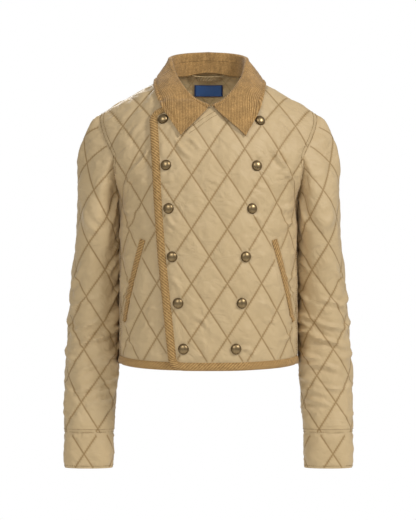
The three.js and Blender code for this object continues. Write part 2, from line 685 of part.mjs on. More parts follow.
// How far the overlapping front is lifted above the body's form
const flapLift = (u) => FLAP_LIFT * (1 - smooth(LIFT.from, LIFT.to, u));
const placeFlap = (u, v, w) => wrap(frontSurface, u, v, w + flapLift(u));
const placeFront = (u, v, w) => wrap(frontSurface, u, v, w);
const placeBack = (u, v, w) => wrap(backSurface, u, v, w);
const placeSleeve = (side) => (u, v, w) => wrap((a, b) => sleevePoint(side, a, b), u, v, w);

// Snaps and pockets in flat coordinates
const snapSpots = SNAP_ROWS.flatMap(({ z, edge, inner }, k) => [
  { name: `snap_edge_${k + 1}`, ...frontSpot(edge, z) },
  { name: `snap_inner_${k + 1}`, ...frontSpot(inner, z) },
]);
const pocketLine = (side) => {
  const top = frontSpot(side * POCKET.topX, POCKET.topZ);
  const bottom = frontSpot(side * POCKET.bottomX, POCKET.bottomZ);
  return { from: [top.u, top.v], to: [bottom.u, bottom.v] };
};
const underSnap = ({ u, v }) => ({ from: [u, v], to: [u, v], ...UNDER_TRIM });
const underPocket = (side) => ({ ...pocketLine(side), ...UNDER_TRIM });

function snapGeometry({ u, v }) {
  const profile = [new THREE.Vector2(0, 0), new THREE.Vector2(SNAP.radius, 0)];
  for (let k = 0; k <= SNAP.steps; k++) {
    const angle = (Math.PI / 2) * (k / SNAP.steps);
    const radius = k === SNAP.steps ? 0 : SNAP.radius * Math.cos(angle);
    profile.push(new THREE.Vector2(radius, mix(SNAP.rim, SNAP.height, Math.sin(angle))));
  }
  const geometry = new THREE.LatheGeometry(profile, SNAP.sides);
  geometry.rotateX(Math.PI / 2);
  const w = CLOTH + SNAP.clearance;
  const r = SNAP.radius;
  const base = placeFlap(u, v, w);
  const across = placeFlap(u + r, v, w).sub(placeFlap(u - r, v, w));
  const outward = across.cross(placeFlap(u, v + r, w).sub(placeFlap(u, v - r, w))).normalize();
  geometry.applyQuaternion(new THREE.Quaternion().setFromUnitVectors(new THREE.Vector3(0, 0, 1), outward));
  geometry.translate(base.x, base.y, base.z);
  return geometry;
}

function pocketTape(side, place) {
  const { from, to } = pocketLine(side);
  const length = Math.hypot(to[0] - from[0], to[1] - from[1]);
  const across = [(to[1] - from[1]) / length, -(to[0] - from[0]) / length];
  const w = CLOTH + TAPE.clearance + POCKET.thickness / 2;
  const grid = line(0, 1, LINE_STEP / length, (share) =>
    [-0.5, 0, 0.5].map((offset) =>
      place(
        mix(from[0], to[0], share) + across[0] * offset * POCKET.width,
        mix(from[1], to[1], share) + across[1] * offset * POCKET.width,
        w,
      ),
    ),
  );
  return wallGeometry(grid, POCKET.thickness);
}

// A flat strip on the inner side of the back
function stripInside({ halfTop, halfBottom, top, bottom, thickness }) {
  const w = -(thickness / 2 + INSIDE_GAP);
  const grid = line(-1, 1, 0.25, (share) =>
    [0, 1].map((up) => {
      const { u, v } = spot("back", -share * mix(halfBottom, halfTop, up), mix(bottom, top, up));
      return placeBack(u, v, w);
    }),
  );
  return wallGeometry(grid, thickness);
}

// The foot of a point on the form: flat coordinates and the distance out of the cloth's inner side
const LONGEST_STEP = 12;
function footOf(face, point) {
  const surface = face === "front" ? frontSurface : backSurface;
  let { u, v } = spot(face, point.x, point.z);
  for (let k = 0; k < 8; k++) {
    const away = point.clone().sub(surface(u, v));
    const across = surface(u + NORMAL_STEP, v).sub(surface(u - NORMAL_STEP, v));
    const up = surface(u, v + NORMAL_STEP).sub(surface(u, v - NORMAL_STEP));
    const [aa, ab, bb] = [across.dot(across), across.dot(up), up.dot(up)];
    const [da, db] = [away.dot(across), away.dot(up)];
    const spread = Math.max(aa * bb - ab * ab, 1e-9);
    u += clamp((da * bb - db * ab) / spread, -LONGEST_STEP, LONGEST_STEP);
    v += clamp((db * aa - da * ab) / spread, -LONGEST_STEP, LONGEST_STEP);
    v = Math.min(v, SHOULDER.v - 1);
  }
  const outward = wrap(surface, u, v, 1).sub(surface(u, v));
  return { u, v, w: point.clone().sub(surface(u, v)).dot(outward), outward };
}

// Moves a point of the collar's leaf out until it clears the quilting and the overlapping front
function clearOfBody(point) {
  const face = point.y > 0 ? "back" : "front";
  const { u, v, w, outward } = footOf(face, point);
  const overFlap = 1 - smooth(flapTop + 2, flapTop + FLAP_NECK, v);
  const lifted = u > 0 ? flapLift(u) : FLAP_LIFT * overFlap;
  const beneath = CLOTH + LOFT + (face === "front" ? lifted : 0);
  const needed = beneath + COLLAR.leaf / 2 + COLLAR.clearance;
  return w < needed ? point.clone().addScaledVector(outward, needed - w) : point;
}

const collarPoint = (kind, side, at) =>
  new THREE.Vector3(
    side * read(COLLAR_LINE, `${kind}X`, at, "at") + read(COLLAR_LINE, `${kind}Shift`, at, "at"),
    read(COLLAR_LINE, `${kind}Y`, at, "at"),
    read(COLLAR_LINE, `${kind}Z`, at, "at"),
  );

// A point just inside the neck seam, by its angle from the side (0) to the front (90 degrees)
function neckSeamPoint(side, degrees) {
  const onSeam = (angle) => {
    const face = angle < 0 ? "back" : "front";
    const x = NECK.halfWidth * Math.cos(THREE.MathUtils.degToRad(angle));
    const v = Math.min(clothUpTo(neckLevel(face, x)), SHOULDER_SEAM);
    const place = face === "back" ? placeBack : side > 0 ? placeFlap : placeFront;
    return place((face === "front" ? side : -side) * reach(face, x, v), v, 0);
  };
  const seam = onSeam(degrees);
  const ahead = onSeam(Math.min(degrees + 3, 89));
  const along = ahead.sub(onSeam(Math.max(degrees - 3, -90))).setZ(0).normalize();
  const inward = new THREE.Vector3(-along.y, along.x, 0);
  return seam.addScaledVector(inward, -COLLAR.inset * Math.sign(inward.dot(seam)));
}

// The points just inside the neck seam, from the middle of the back to the front
const neckSeams = [1, -1].map((side) =>
  line(-90, 86, 2, (degrees) => neckSeamPoint(side, degrees)),
);

// One station of the collar: its fold with the directions up and outward, and the inner seam
const FOLD_STEP = 0.02;
const FOLD_CENTRE = new THREE.Vector3(0, -15, 0); // the fold's outer side faces away from here
function collarStation(side, at) {
  const fold = collarPoint("fold", side, at);
  const along = collarPoint("fold", side, Math.min(at + FOLD_STEP, 1))
    .sub(collarPoint("fold", side, Math.max(at - FOLD_STEP, 0)))
    .normalize();
  const seams = neckSeams[side > 0 ? 0 : 1];
  const foot = seams.reduce((a, b) => (a.distanceTo(fold) < b.distanceTo(fold) ? a : b));
  const up = new THREE.Vector3();
  const out = new THREE.Vector3();
  for (let k = 0; k < 4; k++) {
    up.copy(fold).addScaledVector(out, -COLLAR.roll).sub(foot);
    up.addScaledVector(along, -up.dot(along)).normalize();
    out.crossVectors(along, up);
    out.multiplyScalar(Math.sign(out.dot(fold.clone().sub(FOLD_CENTRE).setZ(0))));
  }
  const core = fold.clone().addScaledVector(up, -COLLAR.roll);
  const seam = core.clone().addScaledVector(out, -COLLAR.roll);
  seam.addScaledVector(up, -read(COLLAR_LINE, "drop", at, "at"));
  return { foot, up, out, core, seam };
}

// The leaf's middle line at one station: up from the inner seam, over the roll and down to the edge
function leafLine(side, at) {
  const { up, out, core, seam } = collarStation(side, at);
  const round = [0, 45, 90, 135, 180].map((degrees) => {
    const angle = THREE.MathUtils.degToRad(degrees);
    return core
      .clone()
      .addScaledVector(out, -COLLAR.roll * Math.cos(angle))
      .addScaledVector(up, COLLAR.roll * Math.sin(angle));
  });
  const start = round.at(-1);
  const edge = clearOfBody(collarPoint("edge", side, at));
  const length = start.distanceTo(edge);
  const leaving = start
    .clone()
    .addScaledVector(up, -LEAF_FALL.drop * length)
    .addScaledVector(out, LEAF_FALL.swell * length);
  const arriving = edge
    .clone()
    .lerp(start, LEAF_FALL.arrival)
    .addScaledVector(out, LEAF_FALL.arrivalSwell * length);
  const fall = new THREE.CubicBezierCurve3(start, leaving, arriving, edge);
  const falling = fall.getPoints(LEAF_FALL.steps).slice(1, -1).map(clearOfBody);
  return [seam, ...round.slice(0, 3), ...round.slice(3).map(clearOfBody), ...falling, edge];
}

// The stand's middle line at one station, from the neck seam up to the leaf's inner seam
function standLine(side, at) {
  const { foot, up, seam } = collarStation(side, at);
  return [foot, foot.clone().lerp(seam, 0.5), seam.clone().addScaledVector(up, -COLLAR.seamGap)];
}

// Both sides of the collar as one wall, from the viewer's left round the back to the right
function collarWall(lineAt, stations, thickness) {
  const half = Array.from({ length: stations + 1 }, (_, k) => k / COLLAR_STATIONS);
  const left = half.slice(1).map((at) => lineAt(-1, at));
  const right = half.map((at) => lineAt(1, at));
  return wallGeometry([...left.reverse(), ...right], thickness);
}

// Colours and finishes
const SHELL_FINISH = { color: "#c4ab82", roughness: 0.62 };
const CORDUROY_FINISH = { color: "#b3905c", roughness: 0.95 };
const TAPE_FINISH = { color: "#a98a58", roughness: 0.85 };
const LABEL_FINISH = { color: "#2c4f86", roughness: 0.7 };
const BRASS_FINISH = { color: "#8d7a58", roughness: 0.35, metalness: 0.9 };

const jacket = new THREE.Group();
function add(name, geometry, finish) {
  const mesh = new THREE.Mesh(geometry, new THREE.MeshStandardMaterial(finish));
  mesh.name = name;
  jacket.add(mesh);
}

const addQuilted = (name, outline, phase, edges, pressed, place) =>
  add(name, quiltedPiece(outline, phase, edges, pressed, place), SHELL_FINISH);

const pressedLeft = [...snapSpots.map(underSnap), underPocket(1)];
const pressedRight = [UNDER_FLAP, underPocket(-1)];
addQuilted("front_left", frontLeftOutline, QUILT_FRONT, EDGES.taped, pressedLeft, placeFlap);
addQuilted("front_right", frontRightOutline, QUILT_UNDER, EDGES.taped, pressedRight, placeFront);
addQuilted("back", backOutline, QUILT_BACK, EDGES.taped, [], placeBack);

for (const [name, side] of [["left", 1], ["right", -1]]) {
  const sleevePhase = { u: QUILT_SLEEVE[name], v: QUILT_SLEEVE.v };
  const cuffPhase = { u: QUILT_CUFF[name], v: QUILT_CUFF.v };
  const place = placeSleeve(side);
  addQuilted(`sleeve_${name}`, sleeveOutline(side), sleevePhase, EDGES.sewn, [], place);
  addQuilted(`cuff_${name}`, cuffOutline(side), cuffPhase, EDGES.cuff, [], place);
}

// The tape of the overlapping front begins under the collar
const flapTapeLine = [...flapLine.slice(2), ...flapHem];
add("tape_front_left", foldedTape(flapTapeLine, placeFlap), TAPE_FINISH);
add("tape_front_right", foldedTape(underHem, placeFront), TAPE_FINISH);
add("tape_back", foldedTape(backHem, placeBack), TAPE_FINISH);
add("collar_leaf", collarWall(leafLine, COLLAR_STATIONS, COLLAR.leaf), CORDUROY_FINISH);
add("collar_stand", collarWall(standLine, COLLAR_STATIONS - 1, COLLAR.stand), CORDUROY_FINISH);
add("hanger_loop", stripInside(LOOP), TAPE_FINISH);
add("label", stripInside(LABEL), LABEL_FINISH);
add("pocket_left", pocketTape(1, placeFlap), TAPE_FINISH);
add("pocket_right", pocketTape(-1, placeFront), TAPE_FINISH);
snapSpots.forEach((spot) => add(spot.name, snapGeometry(spot), BRASS_FINISH));

export default jacket;
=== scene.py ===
"""A quilted jacket's looks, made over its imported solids: cloth, sewing, collar, tapes and snaps.

The cloth is quilted flat, in u (across, as seen from outside) and v (up), then wrapped onto the form
that its wearer fills, with w out of the cloth. Sizes of the form are in millimetres, as a cutter has
them, and become metres as each mesh is made.
"""

import logging
import math
from dataclasses import dataclass, field
from enum import Enum
from typing import Any, Callable, Optional, Sequence

import bpy
import numpy as np
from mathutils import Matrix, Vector
from mathutils.geometry import delaunay_2d_cdt


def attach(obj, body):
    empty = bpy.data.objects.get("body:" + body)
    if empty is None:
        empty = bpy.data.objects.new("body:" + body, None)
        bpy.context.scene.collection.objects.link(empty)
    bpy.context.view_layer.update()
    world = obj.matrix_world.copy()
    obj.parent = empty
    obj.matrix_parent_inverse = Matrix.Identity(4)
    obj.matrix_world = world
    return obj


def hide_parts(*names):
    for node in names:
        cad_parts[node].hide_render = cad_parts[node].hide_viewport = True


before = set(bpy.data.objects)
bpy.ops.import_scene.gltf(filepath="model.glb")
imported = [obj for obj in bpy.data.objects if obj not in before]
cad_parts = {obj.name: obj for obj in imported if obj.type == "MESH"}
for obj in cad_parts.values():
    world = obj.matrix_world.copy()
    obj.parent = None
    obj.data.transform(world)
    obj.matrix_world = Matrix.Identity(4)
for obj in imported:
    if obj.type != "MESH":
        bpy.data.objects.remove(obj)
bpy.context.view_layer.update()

log = logging.getLogger("jacket")
Array = np.ndarray
Surface = Callable[[Array, Array], Array]
Place = Callable[[Array, Array, Array], Array]

MM = 0.001
WAVE_PERIOD = 0.314  # metres between a wave texture's bands at a scale of 1
WHITE_PAPER = "#f6f5f2"

# Blender's names for the kinds of node that are used most
NOISE = "ShaderNodeTexNoise"
WAVE = "ShaderNodeTexWave"
MIX = "ShaderNodeMix"
MATH = "ShaderNodeMath"
RANGE = "ShaderNodeMapRange"
BUMP = "ShaderNodeBump"
ALIGN = "FunctionNodeAlignRotationToVector"


class Face(Enum):
    """The half of the body's form that a piece lies on."""

    FRONT = 1
    BACK = -1


class Side(Enum):
    """A side of the jacket, by the sign of X."""

    LEFT = 1
    RIGHT = -1

    @property
    def word(self) -> str:
        """The side's name in the pieces' names, which is the wearer's own."""
        return self.name.lower()


def mix(a: Any, b: Any, share: Any) -> Any:
    """The value a share of the way from a to b."""
    return a + (b - a) * share


def smooth(start: float, end: float, value: Any) -> Any:
    """A soft step from 0 at start to 1 at end."""
    share = np.clip((value - start) / (end - start), 0, 1)
    return share * share * (3 - 2 * share)


def ripple(across: Array, up: Array, size: float, seed: int) -> Array:
    """An uneven waviness, the same in each run.

    Args:
        across, up: Where it is wanted, in millimetres.
        size: The usual length of a wave.
        seed: Which waviness it is.

    Returns:
        Values mostly between -1 and 1.
    """
    chance = np.random.default_rng(seed)
    total = np.zeros(np.broadcast(across, up).shape)
    for _ in range(7):
        angle = chance.uniform(0, math.pi)
        wave = size * chance.uniform(0.6, 1.6)
        turn = chance.uniform(0, 2 * math.pi)
        along = across * math.cos(angle) + up * math.sin(angle)
        total += np.sin(along * 2 * math.pi / wave + turn)
    return total / 2.6


def unit(vectors: Array) -> Array:
    """The vectors, each one long."""
    return vectors / np.maximum(np.linalg.norm(vectors, axis=-1, keepdims=True), 1e-9)


def lengths_along(points: Array) -> Array:
    """The length up to each point of a line."""
    return np.concatenate([[0], np.cumsum(np.linalg.norm(np.diff(points, axis=0), axis=1))])


def resampled(points: Array, pitch: float) -> Array:
    """A line's points again, evenly spaced about a pitch apart."""
    length = lengths_along(points)
    wanted = np.linspace(0, length[-1], max(2, round(length[-1] / pitch) + 1))
    return np.stack([np.interp(wanted, length, axis) for axis in points.T], axis=-1)


def read_between(grid: Array, row: Array, share: Array) -> Array:
    """Reads a grid between its nodes.

    Args:
        grid: The values, in rows and columns.
        row: The wanted rows, which may be fractions.
        share: The wanted places across, from 0 at the first column to 1 at the last.

    Returns:
        The values there.
    """
    last_row, last_column = grid.shape[0] - 1, grid.shape[1] - 1
    row = np.clip(row, 0, last_row)
    column = np.clip(share, 0, 1) * last_column
    i = np.minimum(row.astype(int), last_row - 1)
    j = np.minimum(column.astype(int), last_column - 1)
    a, b = row - i, column - j
    near = mix(grid[i, j], grid[i, j + 1], b)
    return mix(near, mix(grid[i + 1, j], grid[i + 1, j + 1], b), a)


def wrap(surface: Surface, u: Array, v: Array, w: Array, step: float = 1.5) -> Array:
    """Points at a height out of a surface.

    Args:
        surface: The surface.
        u, v, w: Flat places, and the height of each.
        step: How far off the surface's slope is measured.

    Returns:
        X, Y and Z in the last axis.
    """
    across = surface(u + step, v) - surface(u - step, v)
    up = surface(u, v + step) - surface(u, v - step)
    return surface(u, v) + unit(np.cross(across, up)) * np.asarray(w)[..., None]


@dataclass(frozen=True)
class Table:
    """Rows of sizes that run by their first column, read through a smooth curve."""

    rows: tuple[tuple[float, ...], ...]

    def read(self, column: int, at: Any) -> Array:
        """One column's size at a place along the first column."""
        values = np.array(sorted(self.rows), float)
        keys, sizes = values[:, 0], values[:, column]
        last = len(keys) - 1
        at = np.clip(at, keys[0], keys[-1])
        i = np.clip(np.searchsorted(keys, at) - 1, 0, last - 1)

        def slope(a: Array, b: Array) -> Array:
            """The mean slope between two rows."""
            return (sizes[b] - sizes[a]) / (keys[b] - keys[a])

        leaving = slope(np.maximum(i - 1, 0), i + 1)
        arriving = slope(i, np.minimum(i + 2, last))
        span = keys[i + 1] - keys[i]
        t = (at - keys[i]) / span
        eased = mix(sizes[i], sizes[i + 1], t * t * (3 - 2 * t))
        return eased + span * t * (1 - t) * ((1 - t) * leaving - t * arriving)


def half_ovals(width: Array, near: Array, far: Array, squareness: float) -> tuple[Array, Array, Array]:
    """Half ovals from one end of their depth to the other, in columns evenly spaced along them.

    Args:
        width, near, far: Each oval's half width and its depths, one row an oval.
        squareness: The ovals' exponent; 2 is an ellipse.

    Returns:
        X and Y in rows and columns, and each half's length.
    """
    angle = np.linspace(0, math.pi, 257)
    cosine = np.cos(angle)
    power = 2 / squareness
    x = width[:, None] * np.abs(np.sin(angle)) ** power
    y = -np.where(cosine > 0, near[:, None], far[:, None]) * np.sign(cosine) * np.abs(cosine) ** power
    length = np.cumsum(np.hypot(np.diff(x, prepend=x[:, :1]), np.diff(y, prepend=y[:, :1])), axis=1)
    shares = np.linspace(0, 1, 513)
    even_x, even_y = (
        np.stack([np.interp(shares * run[-1], run, row) for run, row in zip(length, rows)])
        for rows in (x, y)
    )
    return even_x, even_y, length[:, -1]


@dataclass
class BodyForm:
    """The form that fills the jacket's body: oval rings, sloped to the shoulders."""

    underarm: float = -209.0
    shoulder_level: float = 13.0
    shoulder_v: float = 58.0
    squareness: float = 2.5
    slope: float = 0.565
    neck_half_width: float = 70.0
    nape_level: float = -8.0
    nape_rise: float = 32.0
    nape_half_width: float = 80.0
    armhole_front: float = 56.0
    armhole_back: float = 60.0
    armhole_narrowing: float = 0.6
    armhole_top: float = 0.45
    # v up the cloth, level, half width, depth to the front, depth to the back
    rings: Table = Table(
        (
            (-520, -520, 158, 113, 102),
            (-420, -420, 157, 117, 101),
            (-300, -300, 157, 121, 104),
            (-209, -209, 157, 119, 110),
            (-174, -175, 168, 115, 111),
            (-138, -140, 180, 108, 108),
            (-97, -100, 189, 97, 101),
            (-53, -60, 195, 79, 87),
            (-4, -20, 199, 51, 59),
            (24, 0, 200, 31, 35),
            (35, 6, 200, 22, 24.5),
            (44, 10, 199, 14, 15.5),
            (51, 12.2, 197, 7, 7.5),
            (58, 13, 193, 0.15, 0.15),
        )
    )

    def __post_init__(self) -> None:
        """Works the rings out a millimetre apart."""
        self.first = self.rings.rows[0][0] - 10
        self.vs = np.arange(self.first, self.shoulder_v + 0.5)
        width, front, back = (self.rings.read(column, self.vs) for column in (2, 3, 4))
        self.xs, self.ys, self.half = half_ovals(width, front, back, self.squareness)
        self.levels = self.level(self.vs)
        self.edges = {face: self._armhole_edge(face) for face in Face}

    def level(self, v: Array) -> Array:
        """The height before the shoulders slope."""
        return np.where(v < self.underarm, v, self.rings.read(1, v))

    def half_at(self, v: Any) -> Array:
        """Half the ring's length."""
        return np.interp(v, self.vs, self.half)

    def drop(self, x: Array, level: Array) -> Array:
        """How far the shoulders' slope lowers a point."""
        outside = np.maximum(0, np.abs(x) - self.neck_half_width)
        return self.slope * outside * smooth(self.underarm, self.shoulder_level, level)

    def rise(self, x: Array, level: Array) -> Array:
        """How far the nape raises a point."""
        share = np.maximum(0, 1 - (x / self.nape_half_width) ** 2) ** 1.35
        return self.nape_rise * share * smooth(-110, self.nape_level, level)

    def point(self, face: Face, u: Any, v: Any) -> Array:
        """Points of the form.

        Args:
            face: The half they lie on.
            u, v: Lengths from the middle of that half, and up the cloth.

        Returns:
            X, Y and Z in the last axis.
        """
        u, v = np.broadcast_arrays(np.asarray(u, float), np.minimum(v, self.shoulder_v))
        share = np.clip(np.abs(u) / self.half_at(v), 0, 1)
        if face is Face.BACK:
            share = 1 - share
        x = read_between(self.xs, v - self.first, share)
        y = read_between(self.ys, v - self.first, share)
        level = np.interp(v, self.vs, self.levels)
        rise = np.where(y > 0, self.rise(x, level) * smooth(0, 20, y), 0)
        return np.stack([np.sign(u) * face.value * x, y, level - self.drop(x, level) + rise], -1)

    def surface(self, face: Face) -> Surface:
        """The form's surface on one face."""
        return lambda u, v: self.point(face, u, v)

    def cloth_up_to(self, level: Any) -> Array:
        """The cloth's length up to a level."""
        return np.interp(level, self.levels, self.vs)

    def row(self, face: Face, v: float) -> tuple[Array, Array, Array]:
        """One ring from the middle of a face to the side: x, distance in Y, and length."""
        shares = np.linspace(0, 1, self.xs.shape[1])
        row = np.full(shares.shape, v - self.first)
        x, y = (read_between(grid, row, shares) for grid in (self.xs, self.ys))
        lengths = shares * float(self.half_at(v))
        to_side = float(np.interp(0, y, lengths))
        if face is Face.BACK:
            x, y = x[::-1], -y[::-1]
            to_side = lengths[-1] - to_side
        kept = y < 0
        sides = (x.max(), 0.0, to_side)
        return tuple(np.append(part[kept], end) for part, end in zip((x, -y, lengths), sides))

    def reach(self, face: Face, x: float, v: float) -> float:
        """The length along the ring to where it has a given x."""
        xs, _, lengths = self.row(face, v)
        return float(np.sign(x) * np.interp(abs(x), xs, lengths))

    def spot(self, face: Face, x: float, z: float) -> tuple[float, float]:
        """The flat place of a point with a given x and height."""
        level = z
        for _ in range(30):
            rise = self.rise(x, level) if face is Face.BACK else 0
            level = mix(level, min(z + self.drop(x, level) - rise, self.shoulder_level), 0.7)
        v = float(self.cloth_up_to(level))
        return face.value * self.reach(face, x, v), v

    def armhole(self, face: Face, angle: float) -> tuple[float, float]:
        """The armhole's flat edge at an angle from the shoulder (0) to the underarm (half a turn)."""
        cosine = math.cos(angle)
        v = float(self.cloth_up_to(mix(self.underarm, self.shoulder_level, (1 + cosine) / 2)))
        if angle < self.armhole_top:
            tip = self.row(face, self.shoulder_v)[2][-1]
            return mix(tip, self.armhole(face, self.armhole_top)[0], angle / self.armhole_top), v
        widest = self.armhole_front if face is Face.FRONT else self.armhole_back
        depth = widest * math.sin(angle) * (1 - self.armhole_narrowing * max(0, cosine + 0.1))
        _, ys, lengths = self.row(face, v)
        return float(np.interp(-depth, -ys, lengths)), v

    def _armhole_edge(self, face: Face) -> Array:
        """The armhole's edge on one face for the viewer's right, evenly spaced along it."""
        flat = np.array([self.armhole(face, angle) for angle in np.linspace(0, math.pi, 241)])
        points = self.point(face, face.value * flat[:, 0], flat[:, 1])
        return resampled(points, lengths_along(points)[-1] / 400)


@dataclass
class SleeveForm:
    """The form that fills one sleeve, from the cuff's end up to the armhole."""

    body: BodyForm
    end_z: float = -689.0
    cuff: float = 62.0
    biceps: float = 424.0
    squareness: float = 2.2
    grain: float = 0.25
    stand_off: tuple[float, float] = (0.5, 1.8)
    lean: tuple[float, float] = (0.5, 0.28)
    lean_below: float = 0.05
    # v up the sleeve, inner side, outer side, depth, middle in Y
    rings: Table = Table(
        (
            (0, 174, 256, 52, -8),
            (62, 173, 256.5, 58, -4),
            (106, 170.5, 256.5, 70, 5),
            (189, 165, 254.5, 86, 18),
            (269, 162.8, 249, 100, 24),
            (349, 162.4, 242, 113, 22),
            (424, 161, 234, 124, 10),
        )
    )

    def __post_init__(self) -> None:
        """Works out the rings, and the cap's lines from the biceps to the armhole."""
        vs = np.arange(self.biceps + 1)
        inner, outer, depth, middle = (self.rings.read(column, vs) for column in (1, 2, 3, 4))
        reach = (outer - inner) / 2
        self.xs, self.ys, half = half_ovals(depth / 2, reach, reach, self.squareness)
        self.centre, self.middle, self.girths = (inner + outer) / 2, middle, 2 * half
        shares = np.linspace(-0.5, 0.5, 241)
        start = self.ring_point(self.biceps, shares)
        rising = unit(start - self.ring_point(self.biceps - 10, shares))
        end = np.array([self._armhole_point(share) for share in shares])
        lean = self.lean[0] + self.lean[1] * np.cos(2 * math.pi * shares) ** 2
        lean = mix(lean, self.lean_below, smooth(0.36, 0.5, np.abs(shares)))
        arriving = np.stack([-lean, np.zeros_like(lean), np.sqrt(1 - lean**2)], -1)
        pull = np.linalg.norm(start - end, axis=1, keepdims=True)
        self.shares = shares
        self.cap = (start, rising * pull, end, arriving * pull)
        line = [self._on_cap(self.cap, np.full((len(shares), 1), t)) for t in np.linspace(0, 1, 25)]
        self.cap_lengths = sum(np.linalg.norm(b - a, axis=1) for a, b in zip(line, line[1:]))

    def _armhole_point(self, share: float) -> Array:
        """Where the sleeve's edge meets the armhole."""
        edge = self.body.edges[Face.BACK if share < 0 else Face.FRONT]
        k = abs(share) * 2 * (len(edge) - 1)
        point = np.array([np.interp(k, np.arange(len(edge)), axis) for axis in edge.T])
        point[0] += mix(*self.stand_off, smooth(0.12, 0.5, abs(share)))
        return point

    @staticmethod
    def _on_cap(cap: Sequence[Array], t: Array) -> Array:
        """A point a share t along the cap's curves."""
        start, leaving, end, arriving = cap
        ends = start * (1 + 2 * t) * (1 - t) ** 2 + end * t * t * (3 - 2 * t)
        return ends + leaving * t * (1 - t) ** 2 + arriving * t * t * (t - 1)

    def girth(self, v: Any) -> Array:
        """The length all round the sleeve."""
        return np.interp(v, np.arange(len(self.girths)), self.girths)

    def ring_point(self, v: Any, share: Array) -> Array:
        """Points on the sleeve's rings, by the share of the way round from its outer side."""
        row = np.broadcast_to(np.asarray(v, float), np.shape(share))
        x, y = (read_between(grid, row, 2 * np.abs(share)) for grid in (self.xs, self.ys))
        levels = np.arange(len(self.girths))
        centre, middle = (np.interp(row, levels, sizes) for sizes in (self.centre, self.middle))
        return np.stack([centre - y, middle - np.sign(share) * x, self.end_z + row], -1)

    def surface(self, side: Side) -> Surface:
        """One sleeve's surface; u runs from the line down its front."""

        def point(u: Array, v: Array) -> Array:
            """Points of the sleeve below the biceps, and of its cap above."""
            u, v = np.broadcast_arrays(np.asarray(u, float), np.asarray(v, float))
            share = np.clip(self.grain - side.value * u / self.girth(v), -0.5, 0.5)
            below = self.ring_point(np.minimum(v, self.biceps), share)
            cap = [
                np.stack([np.interp(share, self.shares, axis) for axis in curve.T], -1)
                for curve in self.cap
            ]
            t = np.maximum(v - self.biceps, 0) / np.interp(share, self.shares, self.cap_lengths)
            points = np.where((v > self.biceps)[..., None], self._on_cap(cap, t[..., None]), below)
            return points * np.array([side.value, 1, 1])

        return point


@dataclass(frozen=True)
class Quilting:
    """Wadding stitched through in diamonds."""

    width: float = 61.5
    height: float = 94.8
    loft: float = 3.3
    fullness: float = 0.7
    nodes: int = 24
    line_width: float = 0.8
    chance: tuple[float, float, float] = (12.9898, 78.233, 43758.5453)

    @property
    def spacing(self) -> float:
        """The distance between neighbouring lines."""
        return self.width * self.height / math.hypot(self.width, self.height)

    def families(self, u: Array, v: Array, phase: tuple[float, float]) -> tuple[Array, Array]:
        """Two counts that are whole on the rising and on the falling lines."""
        across, up = (u - phase[0]) / self.width, (v - phase[1]) / self.height
        return across + up, across - up

    def off_lines(self, u: Array, v: Array, phase: tuple[float, float]) -> Array:
        """The distance to the nearest stitched line."""
        counts = self.families(u, v, phase)
        return np.minimum(*(np.abs(count - np.round(count)) for count in counts)) * self.spacing

    def rise(self, u: Array, v: Array, phase: tuple[float, float], seed: int) -> Array:
        """The pillows' height: each diamond a little fuller or flatter, puckered at its lines."""
        p, q = self.families(u, v, phase)
        pillow = np.abs(np.sin(math.pi * p) * np.sin(math.pi * q)) ** self.fullness
        a, b, c = self.chance
        diamond = np.sin(np.floor(p) * a + np.floor(q) * b + seed) * c
        uneven = 0.84 + 0.3 * (diamond - np.floor(diamond))
        side = math.hypot(self.width, self.height) / 2
        puckers = np.zeros_like(pillow)
        for k, (count, other) in enumerate(((p, q), (q, p))):
            off = (count - np.round(count)) * self.spacing
            along = other * side + 37 * np.round(count)
            puckers += np.exp(-((off / 9) ** 2)) * ripple(along, off * 0.5, 13, seed + 5 * k)
        dents = ripple(u, v, 46, seed + 11) + 0.6 * ripple(u, v, 19, seed + 12)
        return pillow * (self.loft * uneven + 1.15 * puckers + dents)


@dataclass
class Grain:
    """How the cloth's threads lie: straight on a sleeve, and straight past the shoulders' slope.

    The cut is worked out along the form's rings, which droop with the shoulders. The real threads
    don't, so the quilting is laid out by their own height, which a table keeps.
    """

    body: Optional[BodyForm] = None
    face: Face = Face.FRONT
    reach: float = 330.0
    highest: float = 110.0

    def __post_init__(self) -> None:
        """Works the table out, and its inverse."""
        if self.body is None:
            return
        body = self.body
        us = np.linspace(-self.reach, self.reach, 265)
        across, up = np.meshgrid(us, body.vs)
        x = np.abs(body.point(self.face, across, up)[..., 0])
        level = np.interp(up, body.vs, body.levels)
        lean = (up - level) * (1 - 0.6 * smooth(90, 195, x))
        rise = body.rise(x, level) if self.face is Face.BACK else 0
        self.threads = np.maximum.accumulate(level + lean - body.drop(x, level) + rise, axis=0)
        wanted = np.arange(body.first, self.highest)
        self.cuts = np.stack([np.interp(wanted, column, body.vs) for column in self.threads.T], -1)

    def straight(self, u: Array, v: Array) -> Array:
        """A cut place's height by the threads."""
        if self.body is None:
            return v
        return read_between(self.threads, v - self.body.first, (u + self.reach) / (2 * self.reach))

    def cut(self, points: Array) -> Array:
        """The cut places of points laid out by the threads."""
        if self.body is None:
            return points
        u, v = points.T
        share = (u + self.reach) / (2 * self.reach)
        return np.stack([u, read_between(self.cuts, v - self.body.first, share)], -1)


